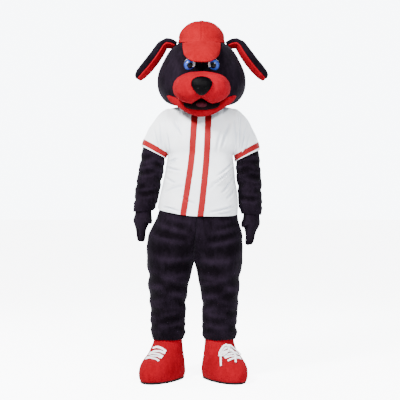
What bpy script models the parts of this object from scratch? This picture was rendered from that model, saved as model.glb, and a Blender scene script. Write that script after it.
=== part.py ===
"""Dog mascot costume, as worn: padded head with a cap, plush suit, jersey, gloves and shoes, all hollow.

The tables give sizes about the costume's own centre line and heights above the floor that its shoes stand
on, in metres. The costume faces -Y and its wearer's left is at +X. The part's origin is on the wearer's
shoulder line, SHOULDER_HEIGHT above the floor.
"""

import math

import bmesh
import bpy
import numpy as np

COSTUME = "dog mascot costume"
SHOULDER_HEIGHT = 1.46

# Walls of the cloth and of the padded pieces, and the gaps between neighbours.
SUIT_WALL = 0.003
JERSEY_WALL = 0.002
TRIM_WALL = 0.001
GLOVE_WALL = 0.0022
HEAD_WALL = 0.010
CAP_WALL = 0.004
SHOE_WALL = 0.008
GAP = 0.0003

# Grids: spans of each panel between its seams.
UPPER_SPANS = 6
TORSO_SPANS = 5
JERSEY_SPANS = 6
CROTCH_SPANS = 6
LEG_SPANS = 12
QUARTER_SPANS = 6
BACK_SPANS = 12
SIDE_SPANS = 5
SLEEVE_SPANS = 2 * UPPER_SPANS
NECK_SPANS = 3

# Heights where the pieces meet.
ARMPIT_HEIGHT = 1.225
FORK_TOP = 0.80
CROTCH_HEIGHT = 0.64
FORK_SIDE_HEIGHT = 0.60
CUFF_HEIGHT = 0.216
ROUNDNESS = 2.25
ARMHOLE_TILT = 0.4
CROTCH_FADE_ROWS = 4.0


def table(columns, *rows):
    """A short table as one array for each named column. Its first column is what the others are read at."""
    values = np.array(sorted(rows), dtype=float)
    named = {name: values[:, place] for place, name in enumerate(columns.split())}
    named["at"] = values[:, 0]
    return named


# The stance leans a little to the wearer's left from the ankles up to the shoulders.
LEAN = table(
    "height shift",
    (0.00, -0.045),
    (0.30, -0.043),
    (0.72, -0.037),
    (0.95, -0.019),
    (1.28, -0.004),
    (1.48, 0.000),
    (2.00, 0.000),
)

# The jersey's outer face below the armpits.
JERSEY = table(
    "height half_width front back",
    (0.88, 0.2220, 0.182, 0.162),
    (0.96, 0.2180, 0.180, 0.158),
    (1.03, 0.2080, 0.176, 0.152),
    (1.10, 0.1940, 0.170, 0.147),
    (1.15, 0.1870, 0.163, 0.143),
    (1.225, 0.1790, 0.152, 0.137),
)

# The suit's outer face from the armpits to the hips.
SUIT = table(
    "height half_width front back",
    (0.58, 0.2600, 0.176, 0.176),
    (0.70, 0.2640, 0.184, 0.184),
    (0.79, 0.2560, 0.186, 0.180),
    (0.85, 0.2390, 0.182, 0.169),
    (0.88, 0.2230, 0.173, 0.155),
    (0.915, 0.2110, 0.170, 0.150),
    (0.96, 0.2070, 0.168, 0.147),
    (1.03, 0.1975, 0.164, 0.141),
    (1.10, 0.1840, 0.158, 0.136),
    (1.15, 0.1770, 0.151, 0.132),
    (1.242, 0.1710, 0.140, 0.125),
)

# Each leg about its own centre, which stands off the costume's centre line.
LEG = table(
    "height centre half_width half_depth set_back",
    (0.216, 0.142, 0.0838, 0.0838, 0.020),
    (0.228, 0.142, 0.0885, 0.0900, 0.020),
    (0.245, 0.142, 0.0945, 0.0980, 0.019),
    (0.27, 0.142, 0.0925, 0.1010, 0.018),
    (0.33, 0.142, 0.0950, 0.1060, 0.016),
    (0.40, 0.142, 0.0965, 0.1100, 0.012),
    (0.46, 0.142, 0.1030, 0.1160, 0.008),
    (0.53, 0.138, 0.1110, 0.1240, 0.004),
    (0.594, 0.133, 0.1200, 0.1340, 0.002),
    (0.64, 0.1315, 0.1300, 0.1440, 0.0),
    (0.80, 0.1310, 0.1305, 0.1560, 0.0),
)

# The largest folds: where each crosses the cloth, how far it reaches each way, and how proud it stands.
# A fold's turn runs from 0 at the centre front or inside leg, by 0.5 at the outer side, to 1 at the back.
LEG_FOLDS = table(
    "height turn reach_turn reach_height proud",
    (0.262, 0.30, 0.60, 0.020, 0.0050),
    (0.305, 0.62, 0.34, 0.022, 0.0050),
    (0.345, 0.22, 0.30, 0.024, 0.0060),
    (0.395, 0.46, 0.30, 0.024, 0.0055),
    (0.440, 0.20, 0.26, 0.026, 0.0065),
    (0.485, 0.60, 0.30, 0.028, 0.0060),
    (0.530, 0.24, 0.28, 0.028, 0.0060),
    (0.585, 0.70, 0.26, 0.030, 0.0060),
    (0.620, 0.30, 0.22, 0.028, 0.0050),
)
SLEEVE_FOLDS = table(
    "height turn reach_turn reach_height proud",
    (0.955, 0.30, 0.45, 0.022, 0.0055),
    (1.000, 0.72, 0.40, 0.022, 0.0050),
    (1.045, 0.30, 0.34, 0.024, 0.0055),
    (1.095, 0.62, 0.32, 0.024, 0.0050),
    (1.140, 0.28, 0.30, 0.024, 0.0050),
)

# The jersey's ridges run between two places on its front or back: side is -1 in front and 1 behind.
JERSEY_FOLDS = table(
    "from_x from_height to_x to_height half_width proud side",
    (0.170, 1.205, 0.055, 1.075, 0.030, 0.0070, -1),
    (0.165, 1.150, 0.070, 1.030, 0.028, 0.0055, -1),
    (-0.150, 0.965, -0.060, 0.925, 0.030, 0.0050, -1),
    (0.205, 0.945, 0.040, 0.925, 0.026, 0.0060, -1),
    (-0.160, 1.195, -0.110, 1.150, 0.026, 0.0045, -1),
    (0.160, 1.200, 0.040, 1.120, 0.030, 0.0055, 1),
    (-0.160, 1.190, -0.050, 1.080, 0.030, 0.0055, 1),
    (-0.180, 0.960, 0.090, 0.930, 0.028, 0.0050, 1),
)

# The jersey's bottom hem: its height round the body, from the right side, by the front, to the left side.
HEM = table(
    "angle height",
    (-90, 0.936),
    (-40, 0.912),
    (0, 0.893),
    (45, 0.892),
    (90, 0.905),
)
BACK_HEM_DIP = 0.012

# The pair of bands on the jersey's front, which swings towards the wearer's right as it comes down.
BANDS = table(
    "height centre inner outer",
    (0.89, -0.030, 0.0300, 0.0625),
    (1.05, -0.018, 0.0265, 0.0595),
    (1.225, -0.006, 0.0225, 0.0560),
    (1.43, 0.000, 0.0200, 0.0540),
)

# Short sleeves: each ring lies between a point under the arm and one over it.
SHORT_SLEEVE = table(
    "along under_x under_height over_x over_height half_depth drop",
    (0.0, 0.1790, 1.2250, 0.2050, 1.4730, 0.1000, 0.0),
    (1.0, 0.1835, 1.2235, 0.2500, 1.4280, 0.0960, 0.2),
    (2.0, 0.1865, 1.2205, 0.2850, 1.3740, 0.0890, 0.5),
    (3.0, 0.1880, 1.2170, 0.3100, 1.3260, 0.0830, 0.8),
    (3.5, 0.1885, 1.2145, 0.3175, 1.3070, 0.0808, 0.9),
    (3.8, 0.1890, 1.2105, 0.3240, 1.2850, 0.0795, 0.97),
    (4.0, 0.1890, 1.2075, 0.3265, 1.2740, 0.0790, 1.0),
)
BAND_ROWS = (4, 5)

# Long suit sleeves, from inside the short ones down to the wrists.
LONG_SLEEVE = table(
    "along under_x under_height over_x over_height half_depth drop",
    (0.0, 0.1710, 1.2420, 0.2030, 1.4700, 0.0940, 0.0),
    (1.0, 0.1880, 1.2400, 0.2420, 1.4200, 0.0880, 0.2),
    (2.0, 0.1935, 1.2350, 0.2770, 1.3660, 0.0810, 0.5),
    (3.0, 0.1960, 1.2270, 0.3020, 1.3160, 0.0755, 0.8),
    (4.0, 0.1965, 1.2130, 0.3185, 1.2700, 0.0725, 1.0),
    (5.0, 0.1950, 1.1830, 0.3270, 1.2240, 0.0720, 1.0),
    (6.0, 0.1975, 1.1500, 0.3320, 1.1760, 0.0715, 1.0),
    (7.0, 0.2040, 1.1180, 0.3360, 1.1320, 0.0690, 1.0),
    (8.0, 0.2105, 1.0840, 0.3400, 1.0900, 0.0670, 1.0),
    (9.0, 0.2150, 1.0480, 0.3440, 1.0500, 0.0655, 1.0),
    (10.0, 0.2185, 1.0120, 0.3480, 1.0100, 0.0640, 1.0),
    (11.0, 0.2225, 0.9760, 0.3500, 0.9720, 0.0625, 1.0),
    (12.0, 0.2310, 0.9450, 0.3530, 0.9380, 0.0600, 1.0),
    (13.0, 0.2460, 0.9230, 0.3510, 0.9140, 0.0520, 1.0),
)
LEFT_DROP = 0.018
RIGHT_FOLD_SHIFT = 0.021


def smooth(source, name, at):
    """A column of a table, read along a smooth curve through its rows that doesn't overshoot them."""
    x = source["at"]
    y = source[name]
    step = np.diff(x)
    rise = np.diff(y) / step
    slope = np.zeros_like(y)
    slope[0] = rise[0]
    slope[-1] = rise[-1]
    for i in range(1, len(x) - 1):
        if rise[i - 1] * rise[i] > 0.0:
            near = 2.0 * step[i] + step[i - 1]
            far = step[i] + 2.0 * step[i - 1]
            slope[i] = (near + far) / (near / rise[i - 1] + far / rise[i])
    at = np.clip(np.asarray(at, dtype=float), x[0], x[-1])
    i = np.clip(np.searchsorted(x, at, side="right") - 1, 0, len(x) - 2)
    t = (at - x[i]) / step[i]
    start = (1.0 + 2.0 * t) * (1.0 - t) ** 2 * y[i] + t * (1.0 - t) ** 2 * step[i] * slope[i]
    end = t**2 * (3.0 - 2.0 * t) * y[i + 1] + t**2 * (t - 1.0) * step[i] * slope[i + 1]
    return start + end


def unit(vectors):
    return vectors / np.maximum(np.linalg.norm(vectors, axis=-1, keepdims=True), 1e-9)


def normals(grid, ring=False):
    """Outward unit normals of a grid whose rows run down and whose columns run counterclockwise from above."""
    if ring:
        across = np.roll(grid, -1, axis=1) - np.roll(grid, 1, axis=1)
    else:
        across = np.gradient(grid, axis=1)
    down = np.gradient(grid, axis=0)
    found = unit(np.cross(down, across))
    if np.linalg.norm(across[0]) < 1e-6:
        found[0] = unit(found[1].mean(axis=0))
    return found


def placed(points):
    """Points in the part's own frame, from points about the centre line and above the floor."""
    points = np.array(points, dtype=float)
    points[..., 0] += smooth(LEAN, "shift", points[..., 2])
    points[..., 2] -= SHOULDER_HEIGHT
    return points


def mirrored(grid):
    """The same grid on the wearer's other side, with its columns still counterclockwise from above."""
    return grid[:, ::-1] * np.array([-1.0, 1.0, 1.0])


def material(name, colour, roughness, metallic=0.0):
    made = bpy.data.materials.new(name)
    made.use_nodes = True
    shader = made.node_tree.nodes["Principled BSDF"]
    shader.inputs["Base Color"].default_value = (*colour, 1.0)
    shader.inputs["Roughness"].default_value = roughness
    shader.inputs["Metallic"].default_value = metallic
    made.diffuse_color = (*colour, 1.0)
    return made


def new_object(name, mesh, finish, shade_angle=50.0):
    """One named piece in the costume's collection."""
    mesh.materials.clear()
    mesh.materials.append(bpy.data.materials[finish])
    mesh.shade_smooth()
    mesh.set_sharp_from_angle(angle=math.radians(shade_angle))
    piece = bpy.data.objects.new(name, mesh)
    bpy.data.collections[COSTUME].objects.link(piece)
    return piece


def welded_mesh(name, points, faces):
    mesh = bpy.data.meshes.new(name)
    mesh.from_pydata([tuple(point) for point in points], [], faces)
    shape = bmesh.new()
    shape.from_mesh(mesh)
    bmesh.ops.remove_doubles(shape, verts=shape.verts, dist=1e-6)
    bmesh.ops.triangulate(shape, faces=shape.faces)
    shape.to_mesh(mesh)
    shape.free()
    return mesh


def wall_mesh(name, outer, inner, ring=False, pole=False):
    """A closed wall between two grids. A ring's last column meets its first; a pole's top row is one point."""
    rows, columns = outer.shape[:2]
    spans = columns if ring else columns - 1
    count = rows * columns

    def near(row, column):
        return row * columns + column % columns

    def deep(row, column):
        return count + near(row, column)

    faces = []
    for row in range(rows - 1):
        for column in range(spans):
            top, below = (row, column), (row + 1, column)
            across, beside = (row + 1, column + 1), (row, column + 1)
            faces.append([near(*top), near(*below), near(*across)])
            faces.append([near(*top), near(*across), near(*beside)])
            faces.append([deep(*top), deep(*across), deep(*below)])
            faces.append([deep(*top), deep(*beside), deep(*across)])
    bottom = rows - 1
    for column in range(spans):
        after = column + 1
        if not pole:
            faces.append([near(0, column), near(0, after), deep(0, after), deep(0, column)])
        faces.append([near(bottom, column), deep(bottom, column), deep(bottom, after), near(bottom, after)])
    if not ring:
        for row in range(rows - 1):
            after = row + 1
            faces.append([near(row, 0), deep(row, 0), deep(after, 0), near(after, 0)])
            faces.append([near(row, spans), near(after, spans), deep(after, spans), deep(row, spans)])
    points = np.concatenate([placed(outer).reshape(-1, 3), placed(inner).reshape(-1, 3)])
    return welded_mesh(name, points, faces)


class Panel:
    """A piece of cloth: a grid of points on its outer face, with the way that its wall goes inwards."""

    def __init__(self, name, grid, wall, finish, ring=False):
        self.name = name
        self.grid = grid
        self.wall = wall
        self.finish = finish
        self.ring = ring
        self.normal = normals(grid, ring)

    def draw_in(self):
        """Leaves half a seam's gap at each edge."""
        rows = [(0, 1), (-1, -2)]
        for edge, inside in rows:
            self.grid[edge] += unit(self.grid[inside] - self.grid[edge]) * GAP / 2
        if not self.ring:
            for edge, inside in rows:
                self.grid[:, edge] += unit(self.grid[:, inside] - self.grid[:, edge]) * GAP / 2

    def cut(self, name, rows):
        """A part of this panel that is a piece of its own."""
        part = Panel(name, self.grid[rows].copy(), self.wall, self.finish, self.ring)
        part.normal = self.normal[rows].copy()
        return part

    def build(self):
        inner = self.grid - self.normal * self.wall
        new_object(self.name, wall_mesh(self.name, self.grid, inner, self.ring), self.finish)

    def trim(self, name, rows, columns, finish, wall=TRIM_WALL, ring=False, pole=False):
        """A piece of cloth on this panel, made from the panel's own points moved out."""
        grid = self.grid[rows, columns]
        normal = self.normal[rows, columns]
        outer = grid + normal * (GAP + wall)
        inner = grid + normal * GAP
        return new_object(name, wall_mesh(name, outer, inner, ring, pole), finish)


def sew(first, first_edge, second, second_edge):
    """Two panels share their normals along a seam, so their walls meet there and don't cross."""
    shared = unit(first.normal[first_edge] + second.normal[second_edge])
    first.normal[first_edge] = shared
    second.normal[second_edge] = shared


def sew_centre(panel, edge):
    """A seam on the costume's own middle plane."""
    panel.normal[edge] = unit(panel.normal[edge] * np.array([0.0, 1.0, 1.0]))


def torso_point(source, height, turn):
    """A point round the body: turn is 0 at the centre front, 0.5 at the side and 1 at the centre back."""
    angle = math.pi * turn
    power = 2.0 / ROUNDNESS
    sine = np.abs(np.sin(angle)) ** power * np.sign(np.sin(angle))
    cosine = np.abs(np.cos(angle)) ** power * np.sign(np.cos(angle))
    depth = np.where(cosine > 0, smooth(source, "front", height), smooth(source, "back", height))
    return np.stack([smooth(source, "half_width", height) * sine, -depth * cosine, height + 0 * angle], axis=-1)


def leg_point(height, turn):
    """A point round the left leg: turn is 0 and 1 inside, 0.25 in front, 0.5 outside and 0.75 behind."""
    angle = 2.0 * math.pi * turn
    x = smooth(LEG, "centre", height) - smooth(LEG, "half_width", height) * np.cos(angle)
    y = smooth(LEG, "set_back", height) - smooth(LEG, "half_depth", height) * np.sin(angle)
    return np.stack([x, y, height + 0 * angle], axis=-1)


# The shoulders, from the armpit level up to the neck, for the jersey and for the suit just under it.
JERSEY_CUT = {
    "body": JERSEY,
    "armpit": (0.1790, ARMPIT_HEIGHT),
    "tip": (0.2050, 1.4730),
    "armhole_depth": 0.100,
    "neck_side": (0.1150, 1.4970),
    "neck_front": (0.098, 1.4320),
    "neck_back": (0.088, 1.4820),
    "fullness": 0.018,
}
SUIT_CUT = {
    "body": SUIT,
    "armpit": (0.1710, 1.2420),
    "tip": (0.2030, 1.4700),
    "armhole_depth": 0.094,
    "neck_side": (0.1120, 1.4925),
    "neck_front": (0.091, 1.4220),
    "neck_back": (0.081, 1.4720),
    "fullness": 0.011,
}


def armhole(cut, up, side):
    """The armhole's edge on the left: up runs from 0 at the armpit to 1 at the shoulder's tip."""
    low_x, low = cut["armpit"]
    top_x, top = cut["tip"]
    angle = math.pi * up
    x = low_x + (top_x - low_x) * up
    y = side * cut["armhole_depth"] * np.sin(angle)
    return np.stack([x, y, (low + top) / 2 - (top - low) / 2 * np.cos(angle)], axis=-1)


def neck_and_shoulder(cut, out, side):
    """The top edge: out runs from 0 at the neck's centre, by 0.5 at its side, to 1 at the shoulder's tip."""
    neck_x, neck_top = cut["neck_side"]
    depth, low = cut["neck_front" if side < 0 else "neck_back"]
    tip_x, tip = cut["tip"]
    angle = math.pi * np.minimum(out, 0.5)
    along = np.maximum(out - 0.5, 0.0) * 2.0
    x = neck_x * np.sin(angle) + (tip_x - neck_x) * along
    y = side * depth * np.cos(angle)
    z = low + (neck_top - low) * np.sin(angle) ** 2 + (tip - neck_top) * along
    return np.stack([x, y, z], axis=-1)


def shoulder_grid(cut, low_out, top_out, side):
    """The front (side -1) or back (side 1) of the left shoulder, from its neck edge down to the armpit.

    low_out and top_out say how far each column is from the centre, at the armpit level and at the top.
    """
    up = np.linspace(1.0, 0.0, UPPER_SPANS + 1)[:, None]
    out = low_out[None, :] * (1.0 - up) + top_out[None, :] * up
    along = out[..., None]
    rise = up[..., None]

    def base(at):
        turn = at * 0.5 if side < 0 else 1.0 - at * 0.5
        return torso_point(cut["body"], np.full(np.shape(at), cut["armpit"][1]), turn)

    neck = neck_and_shoulder(cut, np.zeros(1), side)
    low_centre = base(np.zeros(1))
    centre = low_centre + (neck - low_centre) * up
    fullness = side * cut["fullness"] * np.sin(math.pi * up)
    centre = centre + np.stack([0 * up, fullness, 0 * up], axis=-1)[:, 0]
    arm = armhole(cut, up[:, 0], side)
    edges = (1.0 - rise) * base(out) + rise * neck_and_shoulder(cut, out, side)
    sides = (1.0 - along) * centre[:, None] + along * arm[:, None]
    low = (1.0 - along) * base(np.zeros(1)) + along * base(np.ones(1))
    top = (1.0 - along) * neck + along * neck_and_shoulder(cut, np.ones(1), side)
    return edges + sides - (1.0 - rise) * low - rise * top


def armhole_normal(around):
    """Outward along the left armhole's seam, shared by the body and the sleeve."""
    radial = np.stack([ARMHOLE_TILT + 0 * around, -np.sin(around), -np.cos(around)], axis=-1)
    return unit(radial)


def raised(grid, folds, turns, ring=False):
    """A grid with soft folds that run round it, each over a part of its turns and its heights."""
    height = grid[..., 2]
    proud = np.zeros_like(height)
    for fold in range(len(folds["at"])):
        across = (height - folds["height"][fold]) / folds["reach_height"][fold]
        away = np.abs(turns - folds["turn"][fold])
        away = np.minimum(away, 1.0 - away) if ring else away
        along = np.clip(away / folds["reach_turn"][fold], 0.0, 1.0)
        proud += folds["proud"][fold] * np.exp(-(across**2)) * np.cos(along * math.pi / 2) ** 2
    return grid + normals(grid, ring) * proud[..., None]


def top_outs(start, neck_spans, shoulder_spans):
    """Where the columns meet the top edge: from start to the neck's side at 0.5, then out to the tip."""
    neck = np.linspace(start, 0.5, neck_spans + 1)
    return np.concatenate([neck, np.linspace(0.5, 1.0, shoulder_spans + 1)[1:]])


def suit_lower_half(fold_shift):
    """The left half of the suit below the armpits: torso, the fork between the legs, and the leg."""
    turn = np.linspace(0.0, 1.0, 2 * QUARTER_SPANS + 1)
    torso = np.linspace(SUIT_CUT["armpit"][1], FORK_TOP, TORSO_SPANS + 1)
    angle = np.linspace(0.0, math.pi / 2, CROTCH_SPANS + 1)[1:]
    fork_side = np.linspace(FORK_TOP, FORK_SIDE_HEIGHT, CROTCH_SPANS + 1)[1:]
    fork_inside = FORK_TOP - (FORK_TOP - CROTCH_HEIGHT) * np.sin(angle)
    leg_side = np.linspace(FORK_SIDE_HEIGHT, CUFF_HEIGHT, LEG_SPANS + 1)[1:]
    dip_left = np.clip(1.0 - np.arange(1, LEG_SPANS + 1) / CROTCH_FADE_ROWS, 0.0, 1.0)
    leg_inside = leg_side + (CROTCH_HEIGHT - FORK_SIDE_HEIGHT) * dip_left
    side = np.concatenate([torso, fork_side, leg_side])[:, None]
    inside = np.concatenate([torso, fork_inside, leg_inside])[:, None]
    share = np.concatenate([0 * torso, 1.0 - np.cos(angle), 1.0 + 0 * leg_side])[:, None, None]
    height = side + (inside - side) * np.abs(1.0 - 2.0 * turn)[None, :] ** 2
    turns = np.broadcast_to(turn, height.shape)
    grid = (1.0 - share) * torso_point(SUIT, height, turns) + share * leg_point(height, turns)
    shifted = dict(LEG_FOLDS)
    shifted["height"] = LEG_FOLDS["height"] + fold_shift
    folded = raised(grid, shifted, turns)
    seam = CROTCH_SPANS + TORSO_SPANS
    inseam = (folded[seam:, 0] + folded[seam:, -1]) / 2
    folded[:seam, [0, -1]] = grid[:seam, [0, -1]]
    folded[seam:, 0] = inseam
    folded[seam:, -1] = inseam
    folded[-1] = grid[-1]
    return folded


def suit_panels():
    """Front and back, left and right, sewn down the middle, the sides, the shoulders and the inside legs."""
    out = np.linspace(0.0, 1.0, QUARTER_SPANS + 1)
    top = top_outs(0.0, NECK_SPANS, QUARTER_SPANS - NECK_SPANS)
    upper_front = shoulder_grid(SUIT_CUT, out, top, -1)
    upper_back = shoulder_grid(SUIT_CUT, out, top, 1)[:, ::-1]
    crotch = UPPER_SPANS + TORSO_SPANS + CROTCH_SPANS
    for side, shift in (("left", 0.0), ("right", RIGHT_FOLD_SHIFT)):
        lower = suit_lower_half(shift)[1:]
        middle = QUARTER_SPANS
        front = Panel(f"suit_front_{side}", np.vstack([upper_front, lower[:, : middle + 1]]), SUIT_WALL, "plush_black")
        back = Panel(f"suit_back_{side}", np.vstack([upper_back, lower[:, middle:]]), SUIT_WALL, "plush_black")
        below = slice(UPPER_SPANS, None)
        sew(front, (below, -1), back, (below, 0))
        sew(front, (0, slice(NECK_SPANS, None)), back, (0, slice(middle - NECK_SPANS, None, -1)))
        legs = slice(crotch, None)
        sew(front, (legs, 0), back, (legs, -1))
        sew_centre(front, (slice(0, crotch + 1), 0))
        sew_centre(back, (slice(0, crotch + 1), -1))
        sew_armhole(front, back)
        for panel in (front, back):
            leg_name = panel.name.replace("suit_", "suit_leg_")
            for part in (panel.cut(panel.name, slice(0, crotch + 1)), panel.cut(leg_name, legs)):
                part.draw_in()
                if side == "right":
                    part.grid = mirrored(part.grid)
                    part.normal = mirrored(part.normal)
                part.build()


def sew_armhole(front, back):
    """The armhole's edge of a left front and a left back, whose walls end where the sleeve's begins."""
    up = np.linspace(1.0, 0.0, UPPER_SPANS + 1)
    front.normal[: UPPER_SPANS + 1, -1] = armhole_normal(math.pi * up)
    back.normal[: UPPER_SPANS + 1, 0] = armhole_normal(2.0 * math.pi - math.pi * up)


def sleeve_grid(source, cut, rows, drop):
    """A left sleeve from its armhole down, its columns running from under the arm round by the front."""
    around = np.linspace(0.0, 2.0 * math.pi, SLEEVE_SPANS + 1)[:-1]
    up = np.minimum(around, 2.0 * math.pi - around) / math.pi
    edge = np.where((around <= math.pi)[:, None], armhole(cut, up, -1), armhole(cut, up, 1))
    rings = [edge]
    for along in rows[1:]:
        under = np.array([smooth(source, "under_x", along), 0.0, smooth(source, "under_height", along)])
        over = np.array([smooth(source, "over_x", along), 0.0, smooth(source, "over_height", along)])
        across = -np.cos(around)[:, None] * (over - under) / 2
        depth = -np.sin(around)[:, None] * np.array([0.0, smooth(source, "half_depth", along), 0.0])
        ring = (under + over) / 2 + across + depth
        ring[:, 2] -= drop * smooth(source, "drop", along)
        rings.append(ring)
    return np.array(rings), around


def sleeve(name, source, cut, wall, finish, left, folds=None):
    drop = LEFT_DROP if left else 0.0
    grid, around = sleeve_grid(source, cut, source["along"], drop)
    if folds is not None:
        shifted = dict(folds)
        shifted["height"] = folds["height"] + (0.0 if left else RIGHT_FOLD_SHIFT)
        folded = raised(grid, shifted, np.broadcast_to(around / (2.0 * math.pi), grid.shape[:2]), ring=True)
        folded[0] = grid[0]
        folded[-1] = grid[-1]
        grid = folded
    made = Panel(name, grid, wall, finish, ring=True)
    made.normal[0] = armhole_normal(around)
    made.draw_in()
    if not left:
        made.grid = mirrored(made.grid)
        made.normal = mirrored(made.normal)
    made.build()
    return made


def jersey_turns(height):
    """The front's columns at a height, as signed turns: they run along the edges of both bands."""
    half_width = smooth(JERSEY, "half_width", height)
    centre = smooth(BANDS, "centre", height)
    inner = smooth(BANDS, "inner", height)
    outer = smooth(BANDS, "outer", height)
    edges = np.array([centre - outer, centre - inner, centre + inner, centre + outer])
    turns = np.arcsin((np.abs(edges) / half_width) ** (ROUNDNESS / 2)) / math.pi * np.sign(edges)
    right = np.linspace(-0.5, turns[0], SIDE_SPANS + 1)
    between = np.linspace(turns[1], turns[2], 3)
    left = np.linspace(turns[3], 0.5, SIDE_SPANS + 1)
    return np.concatenate([right, between, left])


def jersey_top_outs():
    """The same columns where they meet the neck and the shoulder seams, as signed distances out."""
    neck_x = JERSEY_CUT["neck_side"][0]
    edges = [smooth(BANDS, name, JERSEY_CUT["neck_front"][1]) for name in ("inner", "outer")]
    inner, outer = (math.asin(edge / neck_x) / math.pi for edge in edges)
    side = top_outs(outer, SIDE_SPANS - QUARTER_SPANS + NECK_SPANS, QUARTER_SPANS - NECK_SPANS)
    return np.concatenate([-side[::-1], [-inner, 0.0, inner], side])


def jersey_creased(grid):
    """The jersey with its largest ridges, each a soft line between two places on the cloth."""
    proud = np.zeros(grid.shape[:2])
    place = grid[..., [0, 2]]
    for fold in range(len(JERSEY_FOLDS["at"])):
        start = np.array([JERSEY_FOLDS["from_x"][fold], JERSEY_FOLDS["from_height"][fold]])
        end = np.array([JERSEY_FOLDS["to_x"][fold], JERSEY_FOLDS["to_height"][fold]])
        line = end - start
        along = np.clip((place - start) @ line / (line @ line), 0.0, 1.0)
        away = np.linalg.norm(place - start - along[..., None] * line, axis=-1)
        same_side = grid[..., 1] * JERSEY_FOLDS["side"][fold] > 0
        share = np.cos(np.clip(away / JERSEY_FOLDS["half_width"][fold], 0.0, 1.0) * math.pi / 2) ** 2
        proud += JERSEY_FOLDS["proud"][fold] * share * same_side
    proud[:, [0, -1]] = 0.0
    return grid + normals(grid) * proud[..., None]


def jersey_lower(turns_of, hem_of):
    """A jersey panel below the armpits, down to a hem whose height changes round the body."""
    rows = []
    for share in np.linspace(0.0, 1.0, JERSEY_SPANS + 1)[1:]:
        turn = turns_of(ARMPIT_HEIGHT + (HEM["height"].min() - ARMPIT_HEIGHT) * share)
        height = ARMPIT_HEIGHT + (hem_of(turn) - ARMPIT_HEIGHT) * share
        rows.append(torso_point(JERSEY, height, turn))
    return np.array(rows)


def front_hem(turn):
    return smooth(HEM, "height", 180.0 * turn)


def back_hem(turn):
    across = turn - 0.5
    sides = smooth(HEM, "height", 90.0) * (1.0 - across) + smooth(HEM, "height", -90.0) * across
    return sides - BACK_HEM_DIP * np.sin(math.pi * across)


def jersey_panels():
    """The jersey's front with its two bands, its back and its short sleeves with a band on each."""
    turns = jersey_turns(ARMPIT_HEIGHT)
    tops = jersey_top_outs()
    signs = np.where(np.arange(len(turns)) <= SIDE_SPANS + 2, -1.0, 1.0)
    upper = shoulder_grid(JERSEY_CUT, np.abs(turns) * 2.0, np.abs(tops), -1)
    upper[..., 0] *= signs
    grid = np.vstack([upper, jersey_lower(jersey_turns, front_hem)])
    front = Panel("jersey_front", jersey_creased(grid), JERSEY_WALL, "jersey_white")

    back_turns = np.linspace(0.5, 1.5, BACK_SPANS + 1)
    half = BACK_SPANS // 2
    side_top = top_outs(0.0, half - (QUARTER_SPANS - NECK_SPANS), QUARTER_SPANS - NECK_SPANS)
    outs = np.abs(np.linspace(-1.0, 1.0, BACK_SPANS + 1))
    back_tops = np.concatenate([side_top[::-1], side_top[1:]])
    upper_back = shoulder_grid(JERSEY_CUT, outs, back_tops, 1)
    upper_back[..., 0] *= np.where(np.arange(BACK_SPANS + 1) <= half, 1.0, -1.0)
    grid = np.vstack([upper_back, jersey_lower(lambda height: back_turns, back_hem)])
    back = Panel("jersey_back", jersey_creased(grid), JERSEY_WALL, "jersey_white")

    below = slice(UPPER_SPANS, None)
    sew(front, (below, -1), back, (below, 0))
    sew(front, (below, 0), back, (below, -1))
    seam = QUARTER_SPANS - NECK_SPANS
    sew(front, (0, slice(-seam - 1, None)), back, (0, slice(seam, None, -1)))
    sew(front, (0, slice(0, seam + 1)), back, (0, slice(None, -seam - 2, -1)))
    up = np.linspace(1.0, 0.0, UPPER_SPANS + 1)
    flip = np.array([-1.0, 1.0, 1.0])
    front.normal[: UPPER_SPANS + 1, -1] = armhole_normal(math.pi * up)
    front.normal[: UPPER_SPANS + 1, 0] = armhole_normal(math.pi * up) * flip
    back.normal[: UPPER_SPANS + 1, 0] = armhole_normal(-math.pi * up)
    back.normal[: UPPER_SPANS + 1, -1] = armhole_normal(-math.pi * up) * flip
    for panel in (front, back):
        panel.draw_in()
        panel.build()
    band = SIDE_SPANS
    front.trim("jersey_stripe_right", slice(None), slice(band, band + 2), "band_red")
    front.trim("jersey_stripe_left", slice(None), slice(band + 3, band + 5), "band_red")

    for side in ("left", "right"):
        short = sleeve(
            f"jersey_sleeve_{side}", SHORT_SLEEVE, JERSEY_CUT, JERSEY_WALL, "jersey_white", side == "left"
        )
        rows = slice(BAND_ROWS[0], BAND_ROWS[1] + 1)
        short.trim(f"sleeve_band_{side}", rows, slice(None), "band_red", ring=True)


# The head's outer face, row by row from the crown down to the neck opening. Its rows dip towards the face.
HEAD = table(
    "along side_height front_height half_width front back",
    (0, 1.9540, 1.9540, 0.0000, 0.000, 0.000),
    (1, 1.9510, 1.9500, 0.0440, 0.046, 0.046),
    (2, 1.9330, 1.9280, 0.0810, 0.086, 0.086),
    (3, 1.9060, 1.8960, 0.1080, 0.115, 0.116),
    (4, 1.8750, 1.8600, 0.1215, 0.131, 0.134),
    (5, 1.8425, 1.8210, 0.1240, 0.138, 0.142),
    (6, 1.8150, 1.8000, 0.1560, 0.166, 0.172),
    (7, 1.7800, 1.7750, 0.1870, 0.188, 0.194),
    (8, 1.7360, 1.7340, 0.2110, 0.204, 0.210),
    (9, 1.6800, 1.6800, 0.2360, 0.214, 0.218),
    (10, 1.6250, 1.6250, 0.2430, 0.217, 0.215),
    (11, 1.5720, 1.5620, 0.2350, 0.215, 0.203),
    (12, 1.5270, 1.4900, 0.2060, 0.204, 0.179),
    (13, 1.5060, 1.4400, 0.1700, 0.176, 0.146),
    (14, 1.4957, 1.4260, 0.1220, 0.124, 0.108),
)
HEAD_COLUMNS = 22
CAP_ROWS = 6
CAP_RIM_RISE = 0.12

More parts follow.
